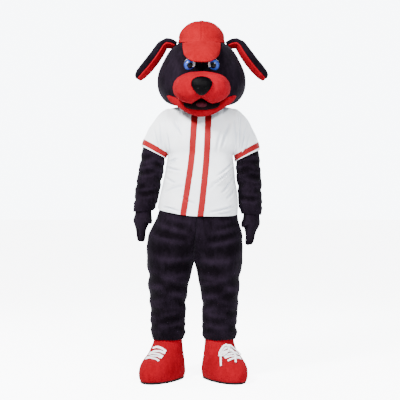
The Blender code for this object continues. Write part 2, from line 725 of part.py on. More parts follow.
# The muzzle's sections, from inside the face to its tip.
MUZZLE = table(
    "reach half_width up down",
    (0.100, 0.138, 0.074, 0.062),
    (0.190, 0.150, 0.086, 0.078),
    (0.235, 0.153, 0.088, 0.090),
    (0.275, 0.143, 0.080, 0.091),
    (0.306, 0.120, 0.062, 0.080),
    (0.328, 0.085, 0.040, 0.058),
    (0.338, 0.042, 0.019, 0.030),
    (0.341, 0.000, 0.000, 0.000),
)
MUZZLE_HEIGHT = 1.567
MUZZLE_COLUMNS = 20
JOWL_NOTCH = 0.42
JOWL_NOTCH_WIDTH = 0.030

# The lower jaw, a padded roll under the muzzle that thins towards the cheeks.
JAW_COLUMNS = 10
JAW_ROWS = 15
JAW_TURN = 0.335
JAW_DEPTH = 0.024
JAW_HALF_HEIGHT = 0.030
JAW_ALONG_CENTRE = 12.78
JAW_ALONG_CHEEK = 11.55
JAW_STEP_ROUND = 0.01
JAW_STEP_UP = 0.05

NOSE_SIZE = (0.064, 0.034, 0.045)
NOSE_PLACE = (0.0, -0.332, 1.565)
EYE_RADIUS = 0.036
EYE_PLACE = (0.060, -0.186, 1.694)
IRIS_RADIUS = 0.022
IRIS_DEPTH = 0.006
IRIS_OFFSET = 0.003
MOUTH_SIZE = (0.100, 0.042, 0.034)
MOUTH_PLACE = (0.0, -0.200, 1.484)
TONGUE_SIZE = (0.034, 0.040, 0.016)
TONGUE_PLACE = (0.0, -0.224, 1.480)

# Each ear runs out from the head to an elbow and hangs down from there; its wide faces look up and down.
EAR = table(
    "along out height half_width half_thick",
    (0.0, 0.100, 1.800, 0.040, 0.015),
    (1.0, 0.136, 1.828, 0.048, 0.019),
    (2.0, 0.166, 1.843, 0.053, 0.021),
    (3.0, 0.193, 1.846, 0.056, 0.023),
    (4.0, 0.216, 1.831, 0.059, 0.026),
    (5.0, 0.238, 1.798, 0.061, 0.029),
    (6.0, 0.2680, 1.7555, 0.062, 0.031),
    (7.0, 0.3030, 1.7115, 0.060, 0.031),
    (8.0, 0.3370, 1.6740, 0.050, 0.028),
    (9.0, 0.3540, 1.6545, 0.032, 0.020),
    (10.0, 0.3610, 1.6465, 0.000, 0.000),
)
EAR_COLUMNS = 12
EAR_TILT = math.radians(4.0)
EAR_STEP = 0.05
EAR_LINING = 0.006
LINING_ROWS = slice(1, 10)
LINING_COLUMNS = {"left": slice(6, 12), "right": slice(0, 6)}

BUTTON_SIZE = (0.012, 0.012, 0.004)
PEAK_HALF_WIDTH = 0.104
PEAK_LENGTH = 0.228
PEAK_CORNER = 0.30
PEAK_CORNER_POWER = 3.5
PEAK_TAPER = 0.10
PEAK_BOW = 0.055
PEAK_BOW_DROP = -0.1
PEAK_SLOPE = math.radians(38.5)
PEAK_CROWN = 0.012
PEAK_THICKNESS = 0.008
PEAK_HEIGHT = 1.836
PEAK_ROOT = 0.135
PEAK_ROWS = 7
PEAK_COLUMNS = 11


def head_point(along, turn):
    """A point on the head's outer face: turn is 0 at the face's middle, 0.5 on the left, 1 behind."""
    angle = math.pi * turn
    face = np.maximum(np.cos(angle), 0.0)
    side_height = smooth(HEAD, "side_height", along)
    height = side_height + (smooth(HEAD, "front_height", along) - side_height) * face**3
    depth = np.where(np.cos(angle) > 0, smooth(HEAD, "front", along), smooth(HEAD, "back", along))
    x = smooth(HEAD, "half_width", along) * np.sin(angle)
    return np.stack([x + 0 * height, -depth * np.cos(angle), height], axis=-1)


def solid_mesh(name, rings):
    """A closed solid through rings of points; an end ring that is one point closes by itself."""
    rows, columns = rings.shape[:2]
    faces = []
    for row in range(rows - 1):
        for column in range(columns):
            after = (column + 1) % columns
            above = row * columns
            below = above + columns
            faces.append([above + column, below + column, below + after])
            faces.append([above + column, below + after, above + after])
    for row, order in ((0, 1), (rows - 1, -1)):
        if np.ptp(rings[row], axis=0).max() > 1e-6:
            ring = [row * columns + column for column in range(columns)]
            faces.append(ring[::order])
    mesh = welded_mesh(name, placed(rings).reshape(-1, 3), faces)
    return outward(mesh)


def outward(mesh):
    """A closed mesh with its faces turned outwards."""
    shape = bmesh.new()
    shape.from_mesh(mesh)
    bmesh.ops.recalc_face_normals(shape, faces=shape.faces)
    shape.to_mesh(mesh)
    shape.free()
    return mesh


def cutter(name, mesh, grow=GAP):
    """A hidden copy of a solid, grown a little, that pieces next to it are cut clear of."""
    shape = bmesh.new()
    shape.from_mesh(mesh)
    shape.normal_update()
    moves = [vert.normal * grow * vert.calc_shell_factor() for vert in shape.verts]
    for vert, move in zip(shape.verts, moves):
        vert.co += move
    copy = bpy.data.meshes.new(name)
    shape.to_mesh(copy)
    shape.free()
    tool = bpy.data.objects.new(name, copy)
    tool.hide_render = True
    tool.display_type = "WIRE"
    bpy.data.collections["cutters"].objects.link(tool)
    return tool


def cut_clear(piece, *tools):
    for tool in tools:
        cut = piece.modifiers.new(f"clear_of_{tool.name}", "BOOLEAN")
        cut.operation = "DIFFERENCE"
        cut.solver = "EXACT"
        cut.object = tool


def ball_mesh(name, size, place, segments=16, rings=10, taper=0.0):
    """A ball of the given radii at a place; taper narrows it towards its bottom."""
    shape = bmesh.new()
    bmesh.ops.create_uvsphere(shape, u_segments=segments, v_segments=rings, radius=1.0)
    bmesh.ops.triangulate(shape, faces=shape.faces)
    for vert in shape.verts:
        narrow = 1.0 - taper * (0.5 - 0.5 * vert.co.z)
        vert.co = (vert.co.x * size[0] * narrow, vert.co.y * size[1], vert.co.z * size[2])
    points = placed([[vert.co[axis] + place[axis] for axis in range(3)] for vert in shape.verts])
    for vert, point in zip(shape.verts, points):
        vert.co = point
    mesh = bpy.data.meshes.new(name)
    shape.to_mesh(mesh)
    shape.free()
    return outward(mesh)


def head_pieces():
    """The hollow head and its cap, and the cutters that pieces on the head are shaped against."""
    turns = np.linspace(0.0, 2.0, HEAD_COLUMNS + 1)[:-1]
    alongs = HEAD["at"]
    grid = head_point(*np.meshgrid(alongs, turns, indexing="ij"))
    head = Panel("head_shell", grid, HEAD_WALL, "plush_black", ring=True)
    inner = head.grid - head.normal * HEAD_WALL
    new_object(head.name, wall_mesh(head.name, head.grid, inner, ring=True, pole=True), head.finish)
    head_core = cutter("head_core", solid_mesh("head_core", head.grid))
    brim = CAP_ROWS - 1
    head.grid[brim] += (head.grid[brim - 1] - head.grid[brim]) * CAP_RIM_RISE
    head.trim("cap_crown", slice(0, CAP_ROWS), slice(None), "cap_red", wall=CAP_WALL, ring=True, pole=True)
    top = head.grid[0, 0] + np.array([0.0, 0.0, CAP_WALL + 2 * GAP + BUTTON_SIZE[2]])
    new_object("cap_button", ball_mesh("cap_button", BUTTON_SIZE, top, 10, 6), "cap_red")
    covered = slice(0, CAP_ROWS + 1)
    cap_solid = head.grid[covered] + head.normal[covered] * (CAP_WALL + GAP)
    cap_core = cutter("cap_core", solid_mesh("cap_core", cap_solid))
    return head_core, cap_core


def muzzle_mesh():
    angle = np.linspace(0.0, 2.0 * math.pi, MUZZLE_COLUMNS + 1)[:-1]
    rings = []
    for reach in MUZZLE["at"]:
        power = 2.0 / ROUNDNESS
        x = smooth(MUZZLE, "half_width", reach) * np.abs(np.cos(angle)) ** power * np.sign(np.cos(angle))
        height = np.where(np.sin(angle) > 0, smooth(MUZZLE, "up", reach), smooth(MUZZLE, "down", reach))
        notch = np.where(np.sin(angle) < 0, JOWL_NOTCH * np.exp(-((x / JOWL_NOTCH_WIDTH) ** 2)), 0.0)
        z = height * np.abs(np.sin(angle)) ** power * np.sign(np.sin(angle)) * (1.0 - notch)
        rings.append(np.stack([x, 0 * x - reach, MUZZLE_HEIGHT + z], axis=-1))
    return solid_mesh("muzzle", np.array(rings))


def jaw_mesh():
    """The lower jaw: a roll along the bottom of the face, half sunk where the head then cuts it."""
    angle = np.linspace(0.0, 2.0 * math.pi, JAW_COLUMNS + 1)[:-1]
    rings = []
    for share in np.linspace(-1.0, 1.0, JAW_ROWS):
        along = JAW_ALONG_CENTRE + (JAW_ALONG_CHEEK - JAW_ALONG_CENTRE) * share**2
        middle = head_point(np.array(along), np.array(JAW_TURN * share))
        beside = head_point(np.array(along), np.array(JAW_TURN * share + JAW_STEP_ROUND))
        above = head_point(np.array(along - JAW_STEP_UP), np.array(JAW_TURN * share))
        out = unit(np.cross(above - middle, beside - middle)) * -1.0
        up = unit(np.cross(out, unit(beside - middle)))
        slim = math.sqrt(max(1.0 - share**4, 0.0))
        ring = middle + np.cos(angle)[:, None] * out * JAW_DEPTH * slim
        rings.append(ring + np.sin(angle)[:, None] * up * JAW_HALF_HEIGHT * slim)
    return solid_mesh("jaw_panel", np.array(rings))


def face_pieces(head_core, cap_core):
    """A plain dog's face: muzzle, lower jaw, mouth, tongue, nose and eyes, each cut to what it sits on."""
    shapes = {
        "muzzle": (muzzle_mesh(), "plush_red"),
        "jaw_panel": (jaw_mesh(), "plush_red"),
        "mouth_lining": (ball_mesh("mouth_lining", MOUTH_SIZE, MOUTH_PLACE, 14, 8), "mouth_dark"),
        "tongue": (ball_mesh("tongue", TONGUE_SIZE, TONGUE_PLACE, 12, 6), "tongue_red"),
        "nose": (ball_mesh("nose", NOSE_SIZE, NOSE_PLACE, 14, 8, taper=0.45), "nose_black"),
    }
    for side, sign in (("left", 1.0), ("right", -1.0)):
        place = (sign * EYE_PLACE[0], EYE_PLACE[1], EYE_PLACE[2])
        front = (sign * (EYE_PLACE[0] - IRIS_OFFSET), EYE_PLACE[1] - EYE_RADIUS, EYE_PLACE[2] - IRIS_OFFSET)
        ball = ball_mesh(f"eye_ball_{side}", (EYE_RADIUS,) * 3, place)
        shapes[f"eye_ball_{side}"] = (ball, "eye_white")
        iris = ball_mesh(f"eye_iris_{side}", (IRIS_RADIUS, IRIS_DEPTH, IRIS_RADIUS), front, 14, 6)
        shapes[f"eye_iris_{side}"] = (iris, "eye_blue")
    tools = {name: cutter(f"{name}_core", mesh) for name, (mesh, finish) in shapes.items() if "iris" not in name}
    rests_on = {
        "muzzle": [],
        "jaw_panel": ["muzzle"],
        "mouth_lining": ["muzzle", "jaw_panel"],
        "tongue": ["muzzle", "jaw_panel", "mouth_lining"],
        "nose": ["muzzle"],
        "eye_ball_left": ["muzzle"],
        "eye_ball_right": ["muzzle"],
        "eye_iris_left": ["eye_ball_left", "muzzle"],
        "eye_iris_right": ["eye_ball_right", "muzzle"],
    }
    for name, (mesh, finish) in shapes.items():
        piece = new_object(name, mesh, finish)
        cut_clear(piece, head_core, *(tools[other] for other in rests_on[name]))


def ear_pieces(head_core, cap_core):
    angle = np.linspace(0.0, 2.0 * math.pi, EAR_COLUMNS + 1)[:-1]
    rings = []
    for along in EAR["at"]:
        ahead = min(along + EAR_STEP, EAR["at"][-1])
        before = max(along - EAR_STEP, 0.0)
        run = smooth(EAR, "out", ahead) - smooth(EAR, "out", before)
        fall = smooth(EAR, "height", ahead) - smooth(EAR, "height", before)
        tangent = unit(np.array([run, 0.0, fall]))
        lifted = np.array([-tangent[2], 0.0, tangent[0]])
        wide = math.cos(EAR_TILT) * np.array([0.0, -1.0, 0.0]) + math.sin(EAR_TILT) * lifted
        thick = math.cos(EAR_TILT) * lifted + math.sin(EAR_TILT) * np.array([0.0, 1.0, 0.0])
        middle = np.array([smooth(EAR, "out", along), 0.0, smooth(EAR, "height", along)])
        ring = middle + np.cos(angle)[:, None] * wide * smooth(EAR, "half_width", along)
        rings.append(ring + np.sin(angle)[:, None] * thick * smooth(EAR, "half_thick", along))
    grid = np.array(rings)
    for side in ("left", "right"):
        shape = grid if side == "left" else mirrored(grid)
        body = Panel(f"ear_{side}", shape, 0.0, "plush_black", ring=True)
        piece = new_object(body.name, solid_mesh(body.name, shape), "plush_black")
        columns = LINING_COLUMNS[side]
        lining = body.trim(f"ear_lining_{side}", LINING_ROWS, columns, "plush_red", wall=EAR_LINING)
        for made in (piece, lining):
            cut_clear(made, head_core, cap_core)


def cap_peak(head_core, cap_core):
    """The cap's padded peak, which slopes down over the forehead and has rounded corners."""
    across = np.linspace(1.0, -1.0, PEAK_COLUMNS)
    rows = []
    for out in np.linspace(0.0, 1.0, PEAK_ROWS):
        length = PEAK_LENGTH * (1.0 - PEAK_CORNER * np.abs(across) ** PEAK_CORNER_POWER)
        x = PEAK_HALF_WIDTH * across * (1.0 - PEAK_TAPER * out**4)
        bow = PEAK_BOW * across**2
        rise = PEAK_CROWN * math.sin(math.pi * out)
        y = -PEAK_ROOT + bow - length * out * math.cos(PEAK_SLOPE) - rise * math.sin(PEAK_SLOPE)
        z = PEAK_HEIGHT - PEAK_BOW_DROP * bow - length * out * math.sin(PEAK_SLOPE) + rise * math.cos(PEAK_SLOPE)
        rows.append(np.stack([x, y, z], axis=-1))
    grid = np.array(rows)[:, ::-1]
    peak = Panel("cap_peak", grid, PEAK_THICKNESS, "cap_red")
    inner = peak.grid - peak.normal * peak.wall
    piece = new_object(peak.name, wall_mesh(peak.name, peak.grid, inner), peak.finish)
    cut_clear(piece, cap_core, head_core)


# A shoe's upper about its ankle: toe and heel are how far it reaches forwards and back, and broader is how
# much wider it is towards the toe.
SHOE = table(
    "height half_width toe heel broader",
    (0.0125, 0.0960, 0.2360, 0.0920, 0.17),
    (0.0280, 0.1010, 0.2430, 0.0960, 0.17),
    (0.0540, 0.1030, 0.2440, 0.0970, 0.17),
    (0.0820, 0.1010, 0.2330, 0.0955, 0.17),
    (0.1060, 0.0970, 0.2080, 0.0930, 0.15),
    (0.1240, 0.0930, 0.1770, 0.0905, 0.12),
    (0.1400, 0.0895, 0.1450, 0.0880, 0.09),
    (0.1600, 0.0860, 0.1150, 0.0855, 0.05),
    (0.1850, 0.0815, 0.0920, 0.0820, 0.02),
    (0.2120, 0.0785, 0.0785, 0.0785, 0.0),
    (0.2500, 0.0770, 0.0770, 0.0770, 0.0),
)
SHOE_COLUMNS = 16
SHOE_TOP_RANGE = (0.06, 0.2499)
SHOE_TOP_HALVINGS = 40
SLOPE_STEP = 0.004
TOE_OUT = math.radians(27.0)
ANKLE = (0.142, 0.020)
SOLE_THICKNESS = 0.0122
SOLE_WELT = 0.004
SOLE_EDGE = 0.003

# Laces lie on the instep; their plan is about the ankle, with the toe at -y.
LACE_WIDTH = 0.012
LACE_THICKNESS = 0.0022
LACE_LIFT = 0.0018
LACE_STEP = 0.016
LACE_HALF_SPREAD = 0.040
LACE_ROWS = (-0.092, -0.107, -0.123, -0.140, -0.157, -0.172)
LACE_TURN = 0.0055
TURN_LEAST = 0.6
TURN_MOST = 1.5
KNOT_PLACE = (0.0, -0.094)
KNOT_SIZE = (0.013, 0.011, 0.008)
BOW_LENGTH = 0.066
BOW_WIDTH = 0.034
BOW_ANGLES = (-62.0, 48.0)
BOW_LIFT = 0.0094
BOW_LACE_WIDTH = 0.0096
KNOT_LIFT = 0.0056
END_PLANS = {
    "a": ((-0.012, -0.090), (-0.032, -0.092), (-0.048, -0.110), (-0.062, -0.138), (-0.074, -0.166)),
    "b": ((0.010, -0.104), (0.020, -0.120), (0.016, -0.146), (0.004, -0.172), (-0.009, -0.200)),
}
END_LIFT = 0.0048
END_POINTS = 16

# A glove's cage, from the wrist to the knuckles, and the steps of its fingers and thumb. The hand turns
# until its back faces outwards and its thumb faces forwards. A step moves across, back, and down the hand.
GLOVE = table(
    "height centre half_width half_depth forward turn",
    (0.932, 0.2985, 0.0484, 0.0479, 0.000, 0.0),
    (0.902, 0.2985, 0.0445, 0.0435, 0.000, 15.0),
    (0.868, 0.3020, 0.0560, 0.0520, 0.006, 50.0),
    (0.832, 0.3020, 0.0430, 0.0300, 0.010, 68.0),
)
GLOVE_CORNER = 0.62
FINGER_STEPS = ((0.0035, 0.002, -0.045, 0.80), (0.003, 0.004, -0.040, 0.85))
THUMB_STEPS = ((-0.022, 0.002, -0.036, 0.60),)


def shoe_ring(height, angle):
    """A point on the upper in the shoe's own frame; angle is 0 at the toe and runs to the wearer's left."""
    cosine = np.cos(angle)
    reach = np.where(cosine > 0, smooth(SHOE, "toe", height), smooth(SHOE, "heel", height))
    x = smooth(SHOE, "half_width", height) * np.sin(angle) * (1.0 + smooth(SHOE, "broader", height) * cosine)
    return np.stack([x, -reach * cosine, height + 0 * x], axis=-1)


def at_ankle(points):
    """From the left shoe's own frame to the costume's: toes turned out, at the left ankle."""
    points = np.array(points, dtype=float)
    x = points[..., 0] * math.cos(TOE_OUT) - points[..., 1] * math.sin(TOE_OUT) + ANKLE[0]
    y = points[..., 0] * math.sin(TOE_OUT) + points[..., 1] * math.cos(TOE_OUT) + ANKLE[1]
    return np.stack([x, y, points[..., 2]], axis=-1)


def shoe_top(x, y):
    """The height and the outward normal of the upper above a place in the shoe's plan."""
    low, high = SHOE_TOP_RANGE
    for _ in range(SHOE_TOP_HALVINGS):
        height = (low + high) / 2
        reach = smooth(SHOE, "toe" if y < 0 else "heel", height)
        cosine = float(np.clip(-y / reach, -1.0, 1.0))
        edge = float(np.abs(shoe_ring(height, math.acos(cosine))[0]))
        inside = abs(y) < reach and abs(x) < edge
        low, high = (height, high) if inside else (low, height)
    return (low + high) / 2


def on_shoe(plan, lift):
    """A route over the upper through places in its plan: points, and the outward normal at each."""
    points = []
    outs = []
    for x, y in plan:
        height = shoe_top(x, y)
        slope_x = (shoe_top(x + SLOPE_STEP, y) - shoe_top(x - SLOPE_STEP, y)) / (2 * SLOPE_STEP)
        slope_y = (shoe_top(x, y + SLOPE_STEP) - shoe_top(x, y - SLOPE_STEP)) / (2 * SLOPE_STEP)
        out = unit(np.array([-slope_x, -slope_y, 1.0]))
        points.append(np.array([x, y, height]) + out * lift)
        outs.append(out)
    return np.array(points), np.array(outs)


def denser(plan, step):
    """A plan route with more points, still through its own corners."""
    route = [np.array(plan[0])]
    for start, end in zip(plan[:-1], plan[1:]):
        start, end = np.array(start), np.array(end)
        count = max(1, round(np.linalg.norm(end - start) / step))
        route += [start + (end - start) * (i + 1) / count for i in range(count)]
    return route


def rounded(plan, count):
    """A plan route as a smooth curve through its own points."""
    corners = np.array(plan)
    stations = table("at x y", *[(i, *corner) for i, corner in enumerate(corners)])
    along = np.linspace(0.0, len(corners) - 1.0, count)
    return np.stack([smooth(stations, "x", along), smooth(stations, "y", along)], axis=-1)


def strip_mesh(name, points, outs, width, thickness, left):
    """A flat lace along a route: four corners at each point, wider at a turn so that its width holds."""
    forward = unit(np.gradient(points, axis=0))
    sides = unit(np.cross(outs, forward))
    rings = []
    for i, point in enumerate(points):
        before = unit(points[i] - points[max(i - 1, 0)]) if i else forward[i]
        spread = min(1.0 / max(abs(float(before @ forward[i])), TURN_LEAST), TURN_MOST)
        side = sides[i] * width / 2 * spread
        up = outs[i] * thickness
        rings.append([point - side, point + side, point + side + up, point - side + up])
    grid = at_ankle(np.array(rings))
    return solid_mesh(name, grid if left else grid * np.array([-1.0, 1.0, 1.0]))


def shoe_pieces():
    """Each shoe: a hollow padded upper open at the ankle, a thin sole and its lace."""
    angles = np.linspace(0.0, 2.0 * math.pi, SHOE_COLUMNS + 1)[:-1]
    upper = np.array([at_ankle(shoe_ring(np.full(SHOE_COLUMNS, height), angles)) for height in SHOE["at"][::-1]])
    outline = shoe_ring(np.full(SHOE_COLUMNS, SHOE["at"][0]), angles)
    heel_middle = np.array([0.0, (smooth(SHOE, "heel", 0.0) - smooth(SHOE, "toe", 0.0)) / 2, 0.0])
    sole = []
    for height, grow in ((SOLE_THICKNESS, SOLE_WELT), (SOLE_EDGE, SOLE_WELT), (0.0, SOLE_WELT - SOLE_EDGE)):
        ring = outline + unit((outline - heel_middle) * np.array([1.0, 1.0, 0.0])) * grow
        ring[:, 2] = height
        sole.append(at_ankle(ring))
    for side in ("left", "right"):
        left = side == "left"
        grid = upper if left else mirrored(upper)
        made = Panel(f"shoe_upper_{side}", grid, SHOE_WALL, "plush_red", ring=True)
        made.build()
        flat = np.array(sole) if left else mirrored(np.array(sole))
        new_object(f"shoe_sole_{side}", solid_mesh(f"shoe_sole_{side}", flat), "sole_black")
        corners = []
        for row, y in enumerate(LACE_ROWS):
            x = LACE_HALF_SPREAD * (1.0 if row % 2 == 0 else -1.0)
            turn = 0.0 if row in (0, len(LACE_ROWS) - 1) else LACE_TURN
            corners += [(x, y + turn), (x, y - turn)] if turn else [(x, y)]
        points, outs = on_shoe(denser(corners, LACE_STEP), LACE_LIFT)
        lace = strip_mesh(f"lace_{side}", points, outs, LACE_WIDTH, LACE_THICKNESS, left)
        new_object(f"lace_{side}", lace, "lace_white")
    tied_bow()


def tied_bow():
    """The left shoe's bow, with its two loops and its two free ends hanging over the toe."""
    knot_points, knot_outs = on_shoe([KNOT_PLACE], KNOT_LIFT + KNOT_SIZE[2])
    knot_mesh = ball_mesh("knot", KNOT_SIZE, at_ankle(knot_points[0]), 10, 6)
    knot_core = cutter("knot_core", knot_mesh)
    knot = new_object("lace_bow_left", knot_mesh, "lace_white")
    turn = np.linspace(0.0, 2.0 * math.pi, 12)
    for loop, angle in enumerate(BOW_ANGLES):
        heading = math.radians(angle)
        along = BOW_LENGTH / 2 * (1.0 - np.cos(turn))
        aside = BOW_WIDTH / 2 * np.sin(turn)
        x = KNOT_PLACE[0] + along * math.sin(heading) + aside * math.cos(heading)
        y = KNOT_PLACE[1] - along * math.cos(heading) + aside * math.sin(heading)
        points, outs = on_shoe(np.stack([x, y], axis=-1), BOW_LIFT)
        mesh = strip_mesh(f"bow_loop_{loop}", points, outs, BOW_LACE_WIDTH, LACE_THICKNESS, True)
        tool = cutter(f"bow_loop_{loop}", mesh, grow=0.0)
        joined = knot.modifiers.new(f"with_loop_{loop}", "BOOLEAN")
        joined.operation = "UNION"
        joined.solver = "EXACT"
        joined.object = tool
    for name, plan in END_PLANS.items():
        points, outs = on_shoe(rounded(plan, END_POINTS), END_LIFT)
        end = strip_mesh(f"lace_end_left_{name}", points, outs, BOW_LACE_WIDTH, LACE_THICKNESS, True)
        cut_clear(new_object(f"lace_end_left_{name}", end, "lace_white"), knot_core)


def extruded(shape, face, step):
    """A finger's next length: the face moves by the step and narrows."""
    moved = bmesh.ops.extrude_discrete_faces(shape, faces=[face])["faces"][0]
    centre = moved.calc_center_median()
    for vert in moved.verts:
        offset = (vert.co - centre) * step[3]
        vert.co = centre + offset
        vert.co.x += step[0]
        vert.co.y += step[1]
        vert.co.z += step[2]
    return moved


def turned_step(step, turn):
    """A step across and back of a hand that is turned, in the costume's own axes."""
    cosine = math.cos(math.radians(turn))
    sine = math.sin(math.radians(turn))
    return (step[0] * cosine - step[1] * sine, step[0] * sine + step[1] * cosine, *step[2:])


def glove_mesh(name, left):
    """A glove's open cage: three cells across, three fingers and a thumb on its inner side."""
    shape = bmesh.new()
    rings = []
    for height in GLOVE["at"][::-1]:
        across = np.array([-1.0, -1.0 / 3.0, 1.0 / 3.0, 1.0]) * smooth(GLOVE, "half_width", height)
        deep = np.array([GLOVE_CORNER, 1.0, 1.0, GLOVE_CORNER]) * smooth(GLOVE, "half_depth", height)
        outline = list(zip(across, -deep)) + list(zip(across[::-1], deep[::-1]))
        turn = smooth(GLOVE, "turn", height)
        ring = []
        for spot in outline:
            x, y = turned_step(spot, turn)
            x += smooth(GLOVE, "centre", height)
            y -= smooth(GLOVE, "forward", height)
            ring.append(shape.verts.new((x, y, height)))
        rings.append(ring)
    count = len(rings[0])
    thumb_face = None
    for upper, lower in zip(rings[:-1], rings[1:]):
        for i in range(count):
            after = (i + 1) % count
            face = shape.faces.new((upper[i], lower[i], lower[after], upper[after]))
            if after == 0 and upper is rings[1]:
                thumb_face = face
    knuckles = rings[-1]
    cells = [
        shape.faces.new((knuckles[i], knuckles[7 - i], knuckles[6 - i], knuckles[i + 1])) for i in range(3)
    ]
    turn = GLOVE["turn"][0]
    for place, cell in enumerate(cells):
        face = cell
        for step in FINGER_STEPS:
            together = (1 - place) * step[0]
            face = extruded(shape, face, turned_step((together, *step[1:]), turn))
    face = thumb_face
    for step in THUMB_STEPS:
        face = extruded(shape, face, turned_step(step, turn))
    shape.normal_update()
    drop = LEFT_DROP if left else 0.0
    sign = 1.0 if left else -1.0
    spots = [(v.co.x, v.co.y, v.co.z - drop) for v in shape.verts]
    for vert, spot in zip(shape.verts, placed(np.array(spots) * np.array([sign, 1.0, 1.0]))):
        vert.co = spot
    if not left:
        bmesh.ops.reverse_faces(shape, faces=shape.faces)
    mesh = bpy.data.meshes.new(name)
    shape.to_mesh(mesh)
    shape.free()
    return mesh


def glove_pieces():
    for side in ("left", "right"):
        name = f"glove_{side}"
        glove = new_object(name, glove_mesh(name, side == "left"), "plush_black")
        rounding = glove.modifiers.new("rounded", "SUBSURF")
        rounding.levels = 1
        rounding.render_levels = 1
        wall = glove.modifiers.new("wall", "SOLIDIFY")
        wall.thickness = GLOVE_WALL
        wall.offset = -1.0


def build_costume():
    for old in list(bpy.data.objects):
        bpy.data.objects.remove(old, do_unlink=True)
    for name in (COSTUME, "cutters"):
        made = bpy.data.collections.new(name)
        bpy.context.scene.collection.children.link(made)
    bpy.data.collections["cutters"].hide_render = True
    material("plush_black", (0.012, 0.008, 0.016), 0.85)
    material("plush_red", (0.62, 0.006, 0.010), 0.80)
    material("cap_red", (0.70, 0.028, 0.022), 0.80)
    material("jersey_white", (0.82, 0.85, 0.90), 0.60)
    material("band_red", (0.66, 0.010, 0.016), 0.60)
    material("eye_white", (0.85, 0.85, 0.83), 0.20)
    material("eye_blue", (0.05, 0.12, 0.45), 0.15)
    material("nose_black", (0.010, 0.010, 0.012), 0.45)
    material("mouth_dark", (0.020, 0.006, 0.008), 0.90)
    material("tongue_red", (0.16, 0.012, 0.022), 0.75)
    material("sole_black", (0.015, 0.015, 0.016), 0.70)
    material("lace_white", (0.86, 0.86, 0.88), 0.65)

    suit_panels()
    for side in ("left", "right"):
        left = side == "left"
        sleeve(f"suit_sleeve_{side}", LONG_SLEEVE, SUIT_CUT, SUIT_WALL, "plush_black", left, SLEEVE_FOLDS)
    jersey_panels()
    glove_pieces()
    head_core, cap_core = head_pieces()
    face_pieces(head_core, cap_core)
    ear_pieces(head_core, cap_core)
    cap_peak(head_core, cap_core)
    shoe_pieces()


build_costume()
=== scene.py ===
"""The looks of a dog mascot costume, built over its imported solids: plush, jersey knit, laces and eyes.

Everything is in metres in the costume's own frame: it faces -Y, its wearer's left is at +X, and the origin
is on the wearer's shoulder line. An azimuth is 0 in front and turns towards the wearer's left.
"""

import math

import bpy
import numpy as np
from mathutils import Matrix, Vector, noise
from mathutils.bvhtree import BVHTree
from mathutils.kdtree import KDTree


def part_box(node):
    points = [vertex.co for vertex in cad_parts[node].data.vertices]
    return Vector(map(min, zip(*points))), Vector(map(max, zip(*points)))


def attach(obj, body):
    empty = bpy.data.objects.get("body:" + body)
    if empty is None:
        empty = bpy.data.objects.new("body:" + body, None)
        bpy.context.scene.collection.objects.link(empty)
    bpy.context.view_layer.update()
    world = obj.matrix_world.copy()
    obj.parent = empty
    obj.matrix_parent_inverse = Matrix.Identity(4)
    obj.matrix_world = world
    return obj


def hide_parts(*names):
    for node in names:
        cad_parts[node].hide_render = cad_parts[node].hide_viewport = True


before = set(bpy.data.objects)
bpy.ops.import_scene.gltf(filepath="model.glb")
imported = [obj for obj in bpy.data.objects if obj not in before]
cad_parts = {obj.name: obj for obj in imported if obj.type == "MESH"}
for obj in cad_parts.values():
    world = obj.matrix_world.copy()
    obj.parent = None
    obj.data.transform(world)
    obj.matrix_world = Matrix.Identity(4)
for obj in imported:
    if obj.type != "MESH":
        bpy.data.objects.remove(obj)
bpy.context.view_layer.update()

SIDES = ("left", "right")
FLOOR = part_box("shoe_sole_left")[0].z

SUIT_WALL = 0.003
JERSEY_WALL = 0.002
GLOVE_WALL = 0.0022
HEAD_WALL = 0.010
CAP_WALL = 0.004
SHOE_WALL = 0.008
TRIM_WALL = 0.0010
SEAM_GAP = 0.0006

# Faces that meet at less than this many degrees are shaded as one surface.
CRISP_ANGLE = 40.0
SEWN_ANGLE = 50.0
SOFT_ANGLE = 60.0

# The slow unevenness of stuffed or worn cloth: its height, the size of its swells and its seed.
UNEVEN = {
    "suit": (0.0045, 0.075, 1),
    "jersey": (0.0030, 0.060, 2),
    "muzzle": (0.0022, 0.050, 3),
    "jaw": (0.0016, 0.040, 4),
    "ear": (0.0022, 0.050, 5),
    "glove": (0.0018, 0.030, 6),
    "shoe": (0.0022, 0.060, 7),
}


def table(columns, *rows):
    """A short table as a list of rows whose values are read by name."""
    names = columns.split()
    return [dict(zip(names, row)) for row in rows]


# ------------------------------------------------------------
# The camera, the light and the floor
# ------------------------------------------------------------

CAMERA_DISTANCE = 5.0
FIELD = 2.2
SENSOR = 0.036
MILLIMETRES = 1000.0
VIEW_CENTRE = (-0.0085, -0.481)

LIGHTS = table(
    "name place size power colour",
    ("key", (-2.4, -2.9, 2.9), 1.1, 720.0, (1.0, 0.995, 0.985)),
    ("front", (1.5, -4.2, 2.0), 1.0, 270.0, (1.0, 1.0, 1.0)),
    ("fill", (3.2, -2.6, 0.0), 2.6, 42.0, (0.78, 0.88, 1.0)),
    ("rim_left", (2.4, 2.0, 1.0), 1.4, 90.0, (0.96, 0.98, 1.0)),
    ("rim_right", (-2.4, 2.0, 1.0), 1.4, 90.0, (0.96, 0.98, 1.0)),
)
LIGHTS_AIM = (0.0, 0.0, -0.3)

# The world's strength as a light, and as the backdrop that is seen.
WORLD_COLOUR = (0.90, 0.95, 1.0)
WORLD_LIGHT = 0.30
BACKDROP = 9.0

FLOOR_SIZE = 80.0
FLOOR_COLOUR = (0.86, 0.865, 0.875)
FLOOR_GLOW = (0.97, 0.98, 1.0)
FLOOR_SHARE = 0.85
FLOOR_ROUGHNESS = (0.82, 0.88)


